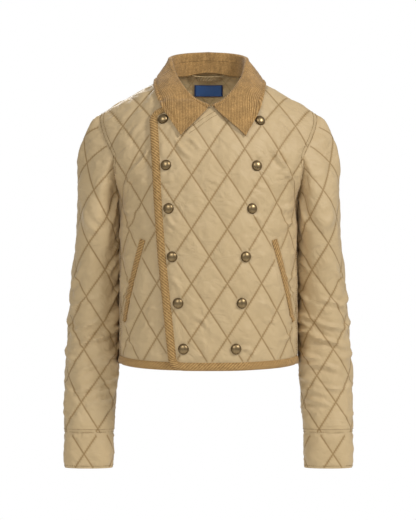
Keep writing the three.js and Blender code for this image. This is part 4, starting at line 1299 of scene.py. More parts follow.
@dataclass
class QuiltedPiece:
    """One cut piece of quilted cloth, from its flat cut to its place on the garment."""

    name: str
    taped: list[Array]
    sewn: list[Array]
    outline: Array
    phase: tuple[float, float]
    place: Place
    pressed: Sequence[Pressed] = ()
    creases: Sequence[Crease] = ()
    sewn_depth: float = 17.0
    tape_width: float = 13.0
    thickness: float = 2.0
    seed: int = 1
    stitch: tuple[float, float] = (3.0, 0.34)
    grain: Grain = field(default_factory=Grain)
    quilting: Quilting = field(default_factory=Quilting)

    def edge_share(self, points: Array) -> Array:
        """How much of its height the wadding has, next to tapes, seams and pressed places."""
        share = np.ones(len(points))
        for edge in self.taped:
            off = np.clip((off_edge(points, edge) - self.tape_width) / 13, 0, 1)
            share = np.minimum(share, 1 - (1 - off) ** 2.4)
        for edge in self.sewn:
            off = np.clip((off_edge(points, edge) - 1) / self.sewn_depth, 0, 1)
            share = np.minimum(share, 1 - (1 - off) ** 2.2)
        for spot in self.pressed:
            off = off_line(*points.T, spot.start, spot.end)[0]
            share = share * mix(spot.kept, 1, smooth(spot.flat, spot.full, off))
        return share

    def fold(self, u: Array, v: Array) -> Array:
        """How far the creases move both faces of the cloth."""
        return sum((crease.height(u, v) for crease in self.creases), np.zeros(np.shape(u)))

    def height(self, u: Array, v: Array) -> Array:
        """The outer face's height above the form."""
        share = self.edge_share(np.stack([u, v], -1))
        puckers = (1 - share) * share * (0.7 + 2.4 * ripple(u, v * 1.5, 12, self.seed + 20))
        rise = self.quilting.rise(u, self.grain.straight(u, v), self.phase, self.seed)
        return self.thickness + rise * share + puckers + self.fold(u, v)

    def flat_mesh(self) -> tuple[Array, Array]:
        """Triangles on the flat cut, whose edges follow the stitched lines.

        Returns:
            Flat points and triangles.
        """
        quilting = self.quilting
        n = quilting.nodes
        step = np.array([quilting.width / n, quilting.height / n])
        low = np.floor((self.threads().min(0) - self.phase) / step).astype(int)
        high = np.ceil((self.threads().max(0) - self.phase) / step).astype(int)
        i, j = (grid.ravel() for grid in np.meshgrid(*(np.arange(a, b + 1) for a, b in zip(low, high))))
        nodes = self.grain.cut(self.phase + np.stack([i, j], -1) * step)
        closed = np.concatenate([self.outline, self.outline[:1]])
        kept = inside(nodes, self.outline)
        kept[kept] = off_edge(nodes[kept], closed) > 1.1
        count = len(self.outline)
        number = np.full((high[0] - low[0] + 3, high[1] - low[1] + 3), -1)
        number[i[kept] - low[0] + 1, j[kept] - low[1] + 1] = count + np.arange(kept.sum())
        edges = [(k, (k + 1) % count) for k in range(count)]
        for on_line, turn in (((i + j) % n == 0, -1), ((i - j) % n == 0, 1)):
            a = number[i[on_line] - low[0] + 1, j[on_line] - low[1] + 1]
            b = number[i[on_line] - low[0] + 2, j[on_line] - low[1] + 1 + turn]
            edges += [(int(p), int(q)) for p, q in zip(a, b) if p >= 0 and q >= 0]
        points = np.concatenate([self.outline, nodes[kept]])
        found = delaunay_2d_cdt([Vector(p) for p in points], edges, [], 0, 1e-5, False)
        flat = np.array([tuple(p) for p in found[0]])
        triangles = np.array([tuple(face) for face in found[2] if len(face) == 3])
        triangles = triangles[inside(flat[triangles].mean(1), self.outline)]
        a, b, c = (flat[triangles[:, k]] for k in range(3))
        turned = np.cross(b - a, c - a) < 0
        triangles[turned] = triangles[turned][:, ::-1]
        return flat, triangles

    def threads(self) -> Array:
        """The outline, laid out by the threads."""
        u, v = self.outline.T
        return np.stack([u, self.grain.straight(u, v)], -1)

    def build(self, stock: Stock) -> bpy.types.Object:
        """The piece's closed shell: raised outer face, plain inner face and rim."""
        flat, triangles = self.flat_mesh()
        u, v = flat.T
        count = len(flat)
        outer = self.place(u, v, self.height(u, v))
        inner = self.place(u, v, self.fold(u, v))
        edges = np.concatenate([triangles[:, [0, 1]], triangles[:, [1, 2]], triangles[:, [2, 0]]])
        keys = edges[:, 0] * count + edges[:, 1]
        rim = edges[~np.isin(edges[:, 1] * count + edges[:, 0], keys)]
        faces = triangles.tolist() + (triangles[:, ::-1] + count).tolist()
        faces += [[b, a, a + count, b + count] for a, b in rim.tolist()]
        second = np.zeros(len(faces))
        second[len(triangles) : 2 * len(triangles)] = 1
        # Painted shade along the stitched valleys, partly standing for the stitch holes; weaker on the lining
        off = self.quilting.off_lines(u, self.grain.straight(u, v), self.phase)
        line = np.exp(-((off / self.quilting.line_width) ** 2)) * smooth(0, 0.15, self.edge_share(flat))
        stitched = np.concatenate([line, line * 0.4])
        made = mesh_object(
            self.name + "_cloth",
            np.concatenate([outer, inner]),
            faces,
            [stock.shell, stock.lining],
            np.concatenate([flat, flat]) * MM,
            second,
            {"stitched": stitched},
        )
        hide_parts(self.name)
        dress(made)
        return made

    def quilting_rows(self, pitch: float = 3.5) -> list[Array]:
        """The stitched lines' points inside the cut, a list for each unbroken run."""
        quilting = self.quilting
        side = math.hypot(quilting.width, quilting.height) / 2
        low, high = self.threads().min(0), self.threads().max(0)
        corners = np.array([(u, v) for u in (low[0], high[0]) for v in (low[1], high[1])])
        p, q = quilting.families(corners[:, 0], corners[:, 1], self.phase)
        runs = []
        for turn, (across, along) in ((1, (p, q)), (-1, (q, p))):
            step = pitch / side
            places = np.arange(math.floor(along.min()) - 1, math.ceil(along.max()) + 1, step)
            for count in range(math.ceil(across.min()), math.floor(across.max()) + 1):
                a, b = (count + places) / 2, turn * (count - places) / 2
                points = np.stack([a * quilting.width, b * quilting.height], -1) + self.phase
                points = self.grain.cut(points)
                kept = inside(points, self.outline)
                kept[kept] = self.edge_share(points[kept]) > 0.12
                breaks = np.flatnonzero(np.diff(kept.astype(int))) + 1
                runs += [run for run, ok in zip(np.split(points, breaks), np.split(kept, breaks)) if ok[0]]
        return runs

    def sew(self, stock: Stock) -> bpy.types.Object:
        """The quilting's own stitches."""
        rows = StitchRows()
        for run in self.quilting_rows():
            rows.add_points(run, self.place, self.height)
        made = rows.make(self.name + "_quilting", stock.quilt_thread, *self.stitch, self.seed)
        dress(made)
        return made


def dress(
    piece: bpy.types.Object,
) -> None:
    """Lets a piece ride on the jacket, and logs its number of faces.

    Args:
        piece: The finished piece.
    """
    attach(piece, "root")
    log.info("%s: %d faces", piece.name, len(piece.data.polygons))


@dataclass
class SnapFastener:
    """A domed brass cap, pressed over the cloth."""

    name: str
    u: float
    v: float
    radius: float = 9.4
    height: float = 6.4
    seat: float = 2.4
    turns: int = 40

    def profile(self) -> Array:
        """Radius, height and how sunk the patina is, from the rim's foot to the dome's top."""
        rim = [(0.0, 0.0, 1), (0.94, 0.0, 1), (1.0, 0.05, 0.9), (1.0, 0.13, 0.3), (0.96, 0.19, 0.15)]
        groove = [(0.94, 0.2, 0.8), (0.92, 0.2, 1.0)]
        angles = np.radians(np.linspace(14, 90, 13))
        dome = [(0.94 * math.cos(a), 0.22 + 0.78 * math.sin(a), 0.3 * (1 - math.sin(a))) for a in angles]
        sizes = np.array(rim + groove + dome)
        return sizes * np.array([self.radius, self.height, 1])

    def build(self, pattern: Pattern, stock: Stock) -> bpy.types.Object:
        """The cap, turned to face straight out of the cloth."""
        reach = self.radius
        base = pattern.place_flap(np.array(self.u), np.array(self.v), np.array(self.seat))
        across, up = (
            pattern.place_flap(np.array(self.u + a), np.array(self.v + b), np.array(self.seat))
            - pattern.place_flap(np.array(self.u - a), np.array(self.v - b), np.array(self.seat))
            for a, b in ((reach, 0), (0, reach))
        )
        across = unit(across)
        outward = unit(np.cross(across, up))
        up = np.cross(outward, across)
        profile = self.profile()
        ring = profile[1:-1]
        angle = np.linspace(0, 2 * math.pi, self.turns, endpoint=False)
        flat = ring[:, None, 0, None] * (
            np.cos(angle)[None, :, None] * across + np.sin(angle)[None, :, None] * up
        )
        points = (base + flat + ring[:, None, 1, None] * outward).reshape(-1, 3)
        count = len(points)
        points = np.concatenate([points, [base + profile[0, 1] * outward, base + profile[-1, 1] * outward]])
        faces = grid_faces(len(ring), self.turns, closed=True)
        last = count - self.turns
        for k in range(self.turns):
            after = (k + 1) % self.turns
            faces.append([after, k, count])
            faces.append([last + k, last + after, count + 1])
        sunk = np.concatenate([np.repeat(ring[:, 2], self.turns), [1, 0]])
        made = mesh_object(self.name + "_cap", points, faces, [stock.brass], values={"sunk": sunk}, sharp=60)
        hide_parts(self.name)
        dress(made)
        return made


@dataclass
class Trunk:
    """Both fronts and the back, with the snaps and pockets that lie on them."""

    pattern: Pattern
    stock: Stock
    quilt_front: tuple[float, float] = (1.5, -310.4)
    quilt_under: tuple[float, float] = (-122.0, -215.6)
    quilt_back: tuple[float, float] = (0.0, -310.4)
    pocket_top: tuple[float, float] = (114.0, -281.0)
    pocket_bottom: tuple[float, float] = (147.0, -425.0)
    # height, x by the free edge, x in the inner column
    snaps: tuple[tuple[float, float, float], ...] = (
        (-72, -78, 90), (-152, -73, 84), (-227, -68, 75), (-311, -62, 64), (-392, -52, 57), (-472, -43, 47)
    )
    pitch: float = 3.4
    stitch: tuple[float, float] = (2.6, 0.9)
    arm_rows: tuple[float, ...] = (2.2, 9.0)
    side_rows: tuple[float, ...] = (2.2,)
    collar_pitch: float = 2.8
    # the two rows that show below the collar's point
    under_collar: tuple[tuple[tuple[float, float], tuple[float, float]], ...] = (
        ((10, -53), (-38, -88)), ((14, -60), (-33, -94))
    )
    # flat start and end, half width, depth and bow; for the left, and mirrored for the right
    front_creases: tuple[Crease, ...] = (
        Crease((158, -160), (104, -96), 4.8, 3.6, 7),
        Crease((168, -186), (120, -150), 4.4, 3.1, -6),
        Crease((178, -214), (122, -226), 4.8, 2.8, 6),
        Crease((180, -250), (136, -262), 4.4, 2.4, -4),
        Crease((182, -300), (150, -306), 4, 2.1, 3),
        Crease((184, -338), (140, -348), 4, 2.2, 5),
        Crease((182, -372), (152, -384), 3.5, 2, -3),
        Crease((180, -418), (146, -420), 4, 2.1, 4),
        Crease((176, -456), (128, -462), 4, 2.1, -5),
        Crease((86, -393), (118, -412), 4, 2.8, 8),
        Crease((96, -424), (128, -434), 3.5, 2.1, 5),
        Crease((52, -472), (82, -486), 3.7, 2.4, 6),
        Crease((-30, -414), (0, -438), 3.7, 2.1, 6),
        Crease((-28, -488), (6, -468), 3.7, 2.2, -5),
        Crease((-66, -348), (-48, -374), 3.5, 2.1, 5),
        Crease((-70, -236), (-52, -262), 3.5, 2, -5),
        Crease((68, -236), (100, -268), 4, 2, 8),
        Crease((76, -168), (108, -194), 4, 2, -7),
        Crease((-60, -96), (-24, -140), 4, 2.5, -7),
        Crease((-44, -100), (-14, -126), 3.5, 1.8, 5),
        Crease((110, -40), (150, -74), 5.3, 2, 6),
    )
    back_creases: tuple[Crease, ...] = (
        Crease((190, -168), (116, -84), 5.7, 3.1, 9),
        Crease((196, -198), (132, -150), 5.3, 3.4, -8),
        Crease((204, -230), (136, -252), 5.3, 2.8, 8),
        Crease((196, -290), (140, -300), 4.8, 2.2, -5),
        Crease((150, -334), (70, -352), 5.7, 2.4, 9),
        Crease((70, -118), (-34, -104), 6.2, 2.1, 6),
        Crease((200, -400), (134, -424), 4.8, 2.5, 7),
        Crease((96, -446), (30, -470), 5.3, 2.2, -6),
        Crease((-176, -190), (-96, -112), 5.7, 3.2, -9),
        Crease((-200, -214), (-128, -178), 5.3, 2.9, 7),
        Crease((-208, -256), (-138, -268), 5.3, 3.1, -8),
        Crease((-198, -330), (-120, -346), 4.8, 2.4, 6),
        Crease((-120, -372), (-40, -390), 5.7, 2.2, -8),
        Crease((-196, -436), (-126, -452), 4.8, 2.4, 5),
        Crease((-40, -478), (-104, -456), 4.8, 2.1, 6),
        Crease((24, -250), (-52, -262), 6.2, 1.7, -7),
    )

    def __post_init__(self) -> None:
        """Cuts the pieces."""
        self.panels = self.pieces()

    def snap_fasteners(self) -> list[SnapFastener]:
        """The twelve snaps, in their two columns."""
        made = []
        for k, (z, edge, inner) in enumerate(self.snaps):
            for column, x in (("edge", edge), ("inner", inner)):
                u, v = self.pattern.body.spot(Face.FRONT, x, z)
                made.append(SnapFastener(f"snap_{column}_{k + 1}", u, v))
        return made

    def pocket_line(self, side: Side) -> Array:
        """A pocket's opening on the flat cloth."""
        ends = (self.pocket_top, self.pocket_bottom)
        return np.array([self.pattern.body.spot(Face.FRONT, side.value * x, z) for x, z in ends])

    def over_pocket(self, side: Side) -> Pressed:
        """Where a pocket's tape holds the cloth down."""
        start, end = self.pocket_line(side)
        return Pressed(tuple(start), tuple(end), 6.5, 20)

    def under_arm(self, side: Side) -> Pressed:
        """Where a sleeve lies against the body's side, all the way down."""
        ends = [(side.value * float(self.pattern.body.row(Face.BACK, v)[2][-1]), v) for v in (-510, -225)]
        return Pressed(*ends, 16, 56, 0.3)

    def pieces(self) -> list[QuiltedPiece]:
        """The three cut pieces."""
        cut = self.pattern
        front_side, front_arm = cut.side(Face.FRONT), cut.armhole(Face.FRONT)
        back_side, back_arm = cut.side(Face.BACK), cut.armhole(Face.BACK)
        flap, flap_hem = cut.flap_line(), cut.flap_hem()
        neck = cut.neck(Face.FRONT, 0, math.pi / 2 - 0.1)
        left_snaps = [Pressed((s.u, s.v), (s.u, s.v), 9, 21) for s in self.snap_fasteners()]
        left = QuiltedPiece(
            "front_left",
            [np.concatenate([flap, flap_hem])],
            [front_side, np.concatenate([front_arm, neck])],
            np.concatenate([flap_hem[:-1], front_side, front_arm, neck, flap]),
            self.quilt_front,
            cut.place_flap,
            [*left_snaps, self.over_pocket(Side.LEFT)],
            self.front_creases,
            seed=1,
            grain=Grain(cut.body, Face.FRONT),
        )
        under_hem = cut.hem(Face.FRONT, -cut.hem_end(Face.FRONT), cut.underlap)
        under_neck = cut.neck(Face.FRONT, math.pi / 2 + 0.02, math.pi)
        top = (cut.underlap, float(cut.body.cloth_up_to(cut.neck_front)) - 0.5)
        under_arm, under_side = mirrored(front_arm), mirrored(front_side)
        covered = Pressed((-24, -60), (10, -500), 78, 98)
        right_creases = [
            Crease((-c.start[0], c.start[1] - 9), (8 - c.end[0], c.end[1] - 4), c.width, c.depth, -c.bow)
            for c in self.front_creases
            if c.end[0] > 100
        ]
        right = QuiltedPiece(
            "front_right",
            [under_hem],
            [under_side, np.concatenate([under_neck, under_arm])],
            np.concatenate([under_hem[1:], [top], under_neck, under_arm, under_side]),
            self.quilt_under,
            cut.place_front,
            [covered, self.over_pocket(Side.RIGHT)],
            right_creases,
            seed=2,
            grain=Grain(cut.body, Face.FRONT),
        )
        back_hem = cut.hem(Face.BACK, -cut.hem_end(Face.BACK), cut.hem_end(Face.BACK))
        back_neck = cut.neck(Face.BACK, 0, math.pi)
        back_edge = np.concatenate([back_side, back_arm])
        rest = np.concatenate([back_edge, back_neck, mirrored(back_edge)])
        back = QuiltedPiece(
            "back",
            [back_hem],
            [back_side, mirrored(back_side), back_arm, mirrored(back_arm), back_neck],
            np.concatenate([back_hem[1:-1], rest]),
            self.quilt_back,
            cut.place_back,
            [self.under_arm(side) for side in Side],
            self.back_creases,
            seed=3,
            grain=Grain(cut.body, Face.BACK),
        )
        return [left, right, back]

    def build(self) -> list[bpy.types.Object]:
        """Makes the pieces and everything sewn or pressed onto them."""
        made = []
        for piece in self.panels:
            made += [piece.build(self.stock), piece.sew(self.stock), self.topstitch(piece)]
        for fastener in self.snap_fasteners():
            made.append(fastener.build(self.pattern, self.stock))
        for side, piece in zip((Side.LEFT, Side.RIGHT), self.panels):
            made += Pocket(side, self.pocket_line(side), piece).build(self.stock)
        return made

    def topstitch(self, piece: QuiltedPiece) -> bpy.types.Object:
        """Two rows beside each armhole, one beside the side seams, and two below the collar's point on the
        overlapping front.
        """
        rows = StitchRows()
        face = Face.BACK if piece.name == "back" else Face.FRONT
        edges = ((self.pattern.armhole(face), self.arm_rows), (self.pattern.side(face), self.side_rows))
        turns = {"front_left": [1], "front_right": [-1], "back": [1, -1]}[piece.name]
        for turn in turns:
            for edge, insets in edges:
                for inset in insets:
                    line = (edge + leftward(edge) * inset) * np.array([turn, 1])
                    rows.add(line, piece.place, piece.height, self.pitch)
        if piece.name == "front_left":
            for row in self.under_collar:
                rows.add(np.array(row), piece.place, piece.height, self.collar_pitch)
        made = rows.make(piece.name + "_topstitch", self.stock.thread, *self.stitch, seed=7)
        dress(made)
        return made


def leftward(line: Array) -> Array:
    """The direction to the left of a flat line at each of its points."""
    run = unit(np.gradient(line, axis=0))
    return np.stack([-run[:, 1], run[:, 0]], -1)


@dataclass
class Pocket:
    """A slanted pocket whose opening is bound with tape."""

    side: Side
    line: Array
    panel: QuiltedPiece
    width: float = 11.0
    thickness: float = 1.5
    cloth: float = 2.0
    crown: float = 0.7
    pitch: float = 3.4
    stitch: tuple[float, float] = (2.5, 0.7)

    def build(self, stock: Stock) -> list[bpy.types.Object]:
        """The tape and its two rows of stitches."""
        line = resampled(self.line, 3)
        length = lengths_along(line)
        across = leftward(line)
        offsets = np.linspace(-0.5, 0.5, 7) * self.width
        grid, flat = [], []
        for offset in offsets:
            u, v = (line + across * offset).T
            crown = self.crown * (1 - (2 * offset / self.width) ** 2)
            w = self.cloth + self.thickness / 2 + 0.3 + crown + 0.15 * ripple(u, v, 14, 31)
            grid.append(self.panel.place(u, v, w + self.panel.fold(u, v)))
            flat.append(np.stack([length, np.full(len(length), offset)], -1) * MM)
        name = f"pocket_{self.side.word}"
        made = wall_object(name + "_tape", np.array(grid), self.thickness, [stock.tape], np.array(flat))
        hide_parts(name)
        dress(made)
        rows = StitchRows()
        top = self.cloth + self.thickness + 0.4
        for offset in (-0.36, 0.36):
            path = line + across * offset * self.width
            rows.add(path, self.panel.place, lambda u, v: top + self.panel.fold(u, v) + 0.3, self.pitch)
        sewn = rows.make(name + "_stitches", stock.tape_thread, *self.stitch, seed=9)
        dress(sewn)
        return [made, sewn]


@dataclass
class Binding:
    """Twill tape folded over an edge and stitched through."""

    name: str
    path: Array
    panel: QuiltedPiece
    width: float = 13.0
    cloth: float = 2.0
    step: float = 3.0
    pitch: float = 3.4
    stitch: tuple[float, float] = (2.6, 0.75)
    stitch_inset: float = 2.4

    def section(self) -> Array:
        """The tape's section: inset from the edge, and height out of the cloth."""
        width, cloth = self.width, self.cloth
        return np.array(
            [
                (-1.0, -1.0),
                (1.5, -1.5),
                (width - 1, -1.4),
                (width, -0.9),
                (width - 0.6, -0.4),
                (0.0, -0.4),
                (-0.5, cloth / 2),
                (0.0, cloth + 0.4),
                (width - 0.6, cloth + 0.3),
                (width, cloth + 0.8),
                (width - 0.8, cloth + 1.6),
                (width - 2.4, cloth + 1.2),
                (width - 4.2, cloth + 2.1),
                (width / 2, cloth + 2.9),
                (3.0, cloth + 2.8),
                (0.4, cloth + 2.0),
                (-1.2, cloth + 0.9),
                (-1.6, cloth / 2),
                (-1.4, -0.2),
            ]
        )

    def build(self, stock: Stock) -> list[bpy.types.Object]:
        """The folded tape and its row of stitches."""
        path = resampled(self.path, self.step)
        length = lengths_along(path)
        inward = leftward(path)
        section = self.section()
        around = lengths_along(section)
        points, flat = [], []
        for k, (inset, height) in enumerate(section):
            u, v = (path + inward * inset).T
            waves = 0.22 * ripple(length, np.full(len(length), inset), 13, 41)
            w = height + waves + self.panel.fold(u, v)
            points.append(self.panel.place(u, v, w))
            flat.append(np.stack([length, np.full(len(length), around[k])], -1) * MM)
        grid = np.array(points).transpose(1, 0, 2)
        rows, columns = grid.shape[:2]
        faces = grid_faces(rows, columns, closed=True)
        faces.append(list(range(columns))[::-1])
        faces.append([(rows - 1) * columns + k for k in range(columns)])
        uv = np.array(flat).transpose(1, 0, 2).reshape(-1, 2)
        made = mesh_object(self.name + "_twill", grid.reshape(-1, 3), faces, [stock.tape], uv)
        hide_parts(self.name)
        dress(made)
        rows = StitchRows()
        top = self.cloth + 1.15
        line = path + inward * (self.width - self.stitch_inset)
        rows.add(line, self.panel.place, lambda u, v: top + self.panel.fold(u, v), self.pitch)
        sewn = rows.make(self.name + "_stitches", stock.tape_thread, *self.stitch, seed=13)
        dress(sewn)
        return [made, sewn]


@dataclass
class Sleeve:
    """One sleeve with its cuff."""

    side: Side
    pattern: Pattern
    stock: Stock
    limit: float = 0.4995
    quilt: tuple[float, float] = (14.0, 118.0)
    cuff_quilt: tuple[float, float] = (7.0, 26.0)
    pitch: float = 3.4
    stitch: tuple[float, float] = (2.7, 0.95)
    sleeve_rows: tuple[float, ...] = (64.6, 69.5)
    cuff_rows: tuple[float, ...] = (4.5,)
    # flat start and end, half width, depth and bow, for the left sleeve; u runs to its outer side
    creases: tuple[Crease, ...] = (
        Crease((-72, 498), (-18, 418), 5.3, 3.4, 8),
        Crease((-78, 462), (-26, 376), 5.3, 3.6, -7),
        Crease((-80, 418), (-40, 332), 5.3, 3.1, 6),
        Crease((-82, 330), (-24, 292), 4.8, 3.6, 7),
        Crease((-80, 300), (-8, 266), 4.8, 3.6, -8),
        Crease((-78, 272), (-16, 246), 4.4, 3.6, 6),
        Crease((-76, 246), (6, 226), 4.8, 3.6, 8),
        Crease((-72, 222), (-20, 206), 4.4, 3.4, -5),
        Crease((-70, 198), (10, 186), 4.4, 3.6, 6),
        Crease((-64, 168), (-14, 160), 4.2, 2.8, -4),
        Crease((-62, 140), (16, 128), 4.4, 2.5, 5),
        Crease((-58, 106), (-20, 100), 4, 2.1, 4),
        Crease((78, 330), (26, 286), 5.3, 2.7, 6),
        Crease((80, 262), (30, 236), 5.3, 2.9, -6),
        Crease((76, 214), (20, 196), 4.8, 2.7, 5),
        Crease((70, 150), (28, 136), 4.4, 2.1, -4),
        Crease((66, 100), (22, 92), 4, 1.8, 3),
        Crease((30, 460), (-6, 424), 5.7, 2.2, 6),
        Crease((-40, 234), (42, 212), 4.2, 4.2, 6),
        Crease((-18, 264), (50, 250), 4.0, 3.4, -5),
        Crease((-50, 186), (34, 168), 4.2, 3.7, 7),
        Crease((-12, 302), (60, 274), 4.2, 3.4, 6),
        Crease((-30, 152), (40, 140), 3.8, 3.0, -4),
        Crease((-44, 122), (10, 108), 3.8, 2.8, 4),
        Crease((20, 362), (70, 320), 4.8, 3.4, -7),
        Crease((-70, 384), (-20, 350), 4.4, 3.6, 6),
        Crease((150, 490), (96, 396), 6.2, 3.4, 9),
        Crease((196, 440), (130, 346), 6.2, 3.6, -9),
        Crease((206, 350), (138, 300), 5.7, 3.1, 7),
        Crease((200, 286), (128, 258), 5.7, 3.6, 8),
        Crease((190, 244), (120, 226), 5.3, 3.4, -7),
        Crease((180, 204), (112, 190), 5.3, 3.1, 6),
        Crease((170, 152), (110, 140), 4.8, 2.5, 5),
        Crease((156, 104), (100, 96), 4.4, 2.1, -4),
    )

    def across(self, share: float, v: float) -> float:
        """The flat place of a share of the way round."""
        girth = float(self.pattern.sleeve.girth(v))
        return self.side.value * (self.pattern.sleeve.grain - share) * girth

    def pieces(self) -> list[QuiltedPiece]:
        """The sleeve's and the cuff's cut."""
        form, gap = self.pattern.sleeve, self.pattern.gap
        ends = (-self.limit, self.limit) if self.side is Side.LEFT else (self.limit, -self.limit)
        cap = np.array(
            [
                (
                    self.across(share, form.biceps),
                    form.biceps + float(np.interp(share, form.shares, form.cap_lengths)) - gap,
                )
                for share in np.linspace(*ends, 130)
            ]
        )
        start = form.cuff + gap
        first, last = (
            np.array([(self.across(end, min(v, form.biceps)), v) for v in np.linspace(start, top, 110)])
            for end, top in ((ends[0], cap[0, 1]), (ends[1], cap[-1, 1]))
        )
        # The cut runs anticlockwise, so the edge at the higher u comes first
        low = np.array([(u, form.cuff + gap) for u in np.linspace(last[0, 0], first[0, 0], 60)])
        shift = 0 if self.side is Side.LEFT else 6
        creases = [
            Crease(
                (self.side.value * c.start[0], c.start[1] + shift),
                (self.side.value * c.end[0], c.end[1] - shift),
                c.width,
                c.depth,
                self.side.value * c.bow,
            )
            for c in self.creases
        ]
        place = self.pattern.place_sleeve(self.side)
        sleeve = QuiltedPiece(
            f"sleeve_{self.side.word}",
            [],
            [first, last, cap, low],
            np.concatenate([low[:-1], first, cap[1:-1], last[::-1][:-1]]),
            (self.side.value * self.quilt[0], self.quilt[1]),
            place,
            creases=creases,
            seed=5 + self.side.value,
            sewn_depth=14,
        )
        edges = [
            np.array([(self.across(end, v), v) for v in np.linspace(0, form.cuff, 30)]) for end in ends
        ]
        bottom = np.array([(u, 0.0) for u in np.linspace(edges[1][0, 0], edges[0][0, 0], 60)])
        top = np.array([(u, form.cuff) for u in np.linspace(edges[0][-1, 0], edges[1][-1, 0], 60)])
        cuff = QuiltedPiece(
            f"cuff_{self.side.word}",
            [],
            [edges[0], edges[1], bottom, top],
            np.concatenate([bottom[:-1], edges[0], top[1:-1], edges[1][::-1][:-1]]),
            (self.side.value * self.cuff_quilt[0], self.cuff_quilt[1]),
            place,
            seed=9 + self.side.value,
            sewn_depth=11,
        )
        return [sleeve, cuff]

    def build(self) -> list[bpy.types.Object]:
        """Makes the sleeve and the cuff with their stitches."""
        made = []
        pieces = self.pieces()
        rows = StitchRows()
        for piece, levels in zip(pieces, (self.sleeve_rows, self.cuff_rows)):
            made += [piece.build(self.stock), piece.sew(self.stock)]
            for level in levels:
                ends = [self.across(end, level) for end in (-self.limit, self.limit)]
                line = np.array([(u, level) for u in np.linspace(min(ends), max(ends), 90)])
                rows.add(line, piece.place, piece.height, self.pitch)
        sewn = rows.make(f"sleeve_{self.side.word}_topstitch", self.stock.thread, *self.stitch, seed=17)
        dress(sewn)
        return made + [sewn]


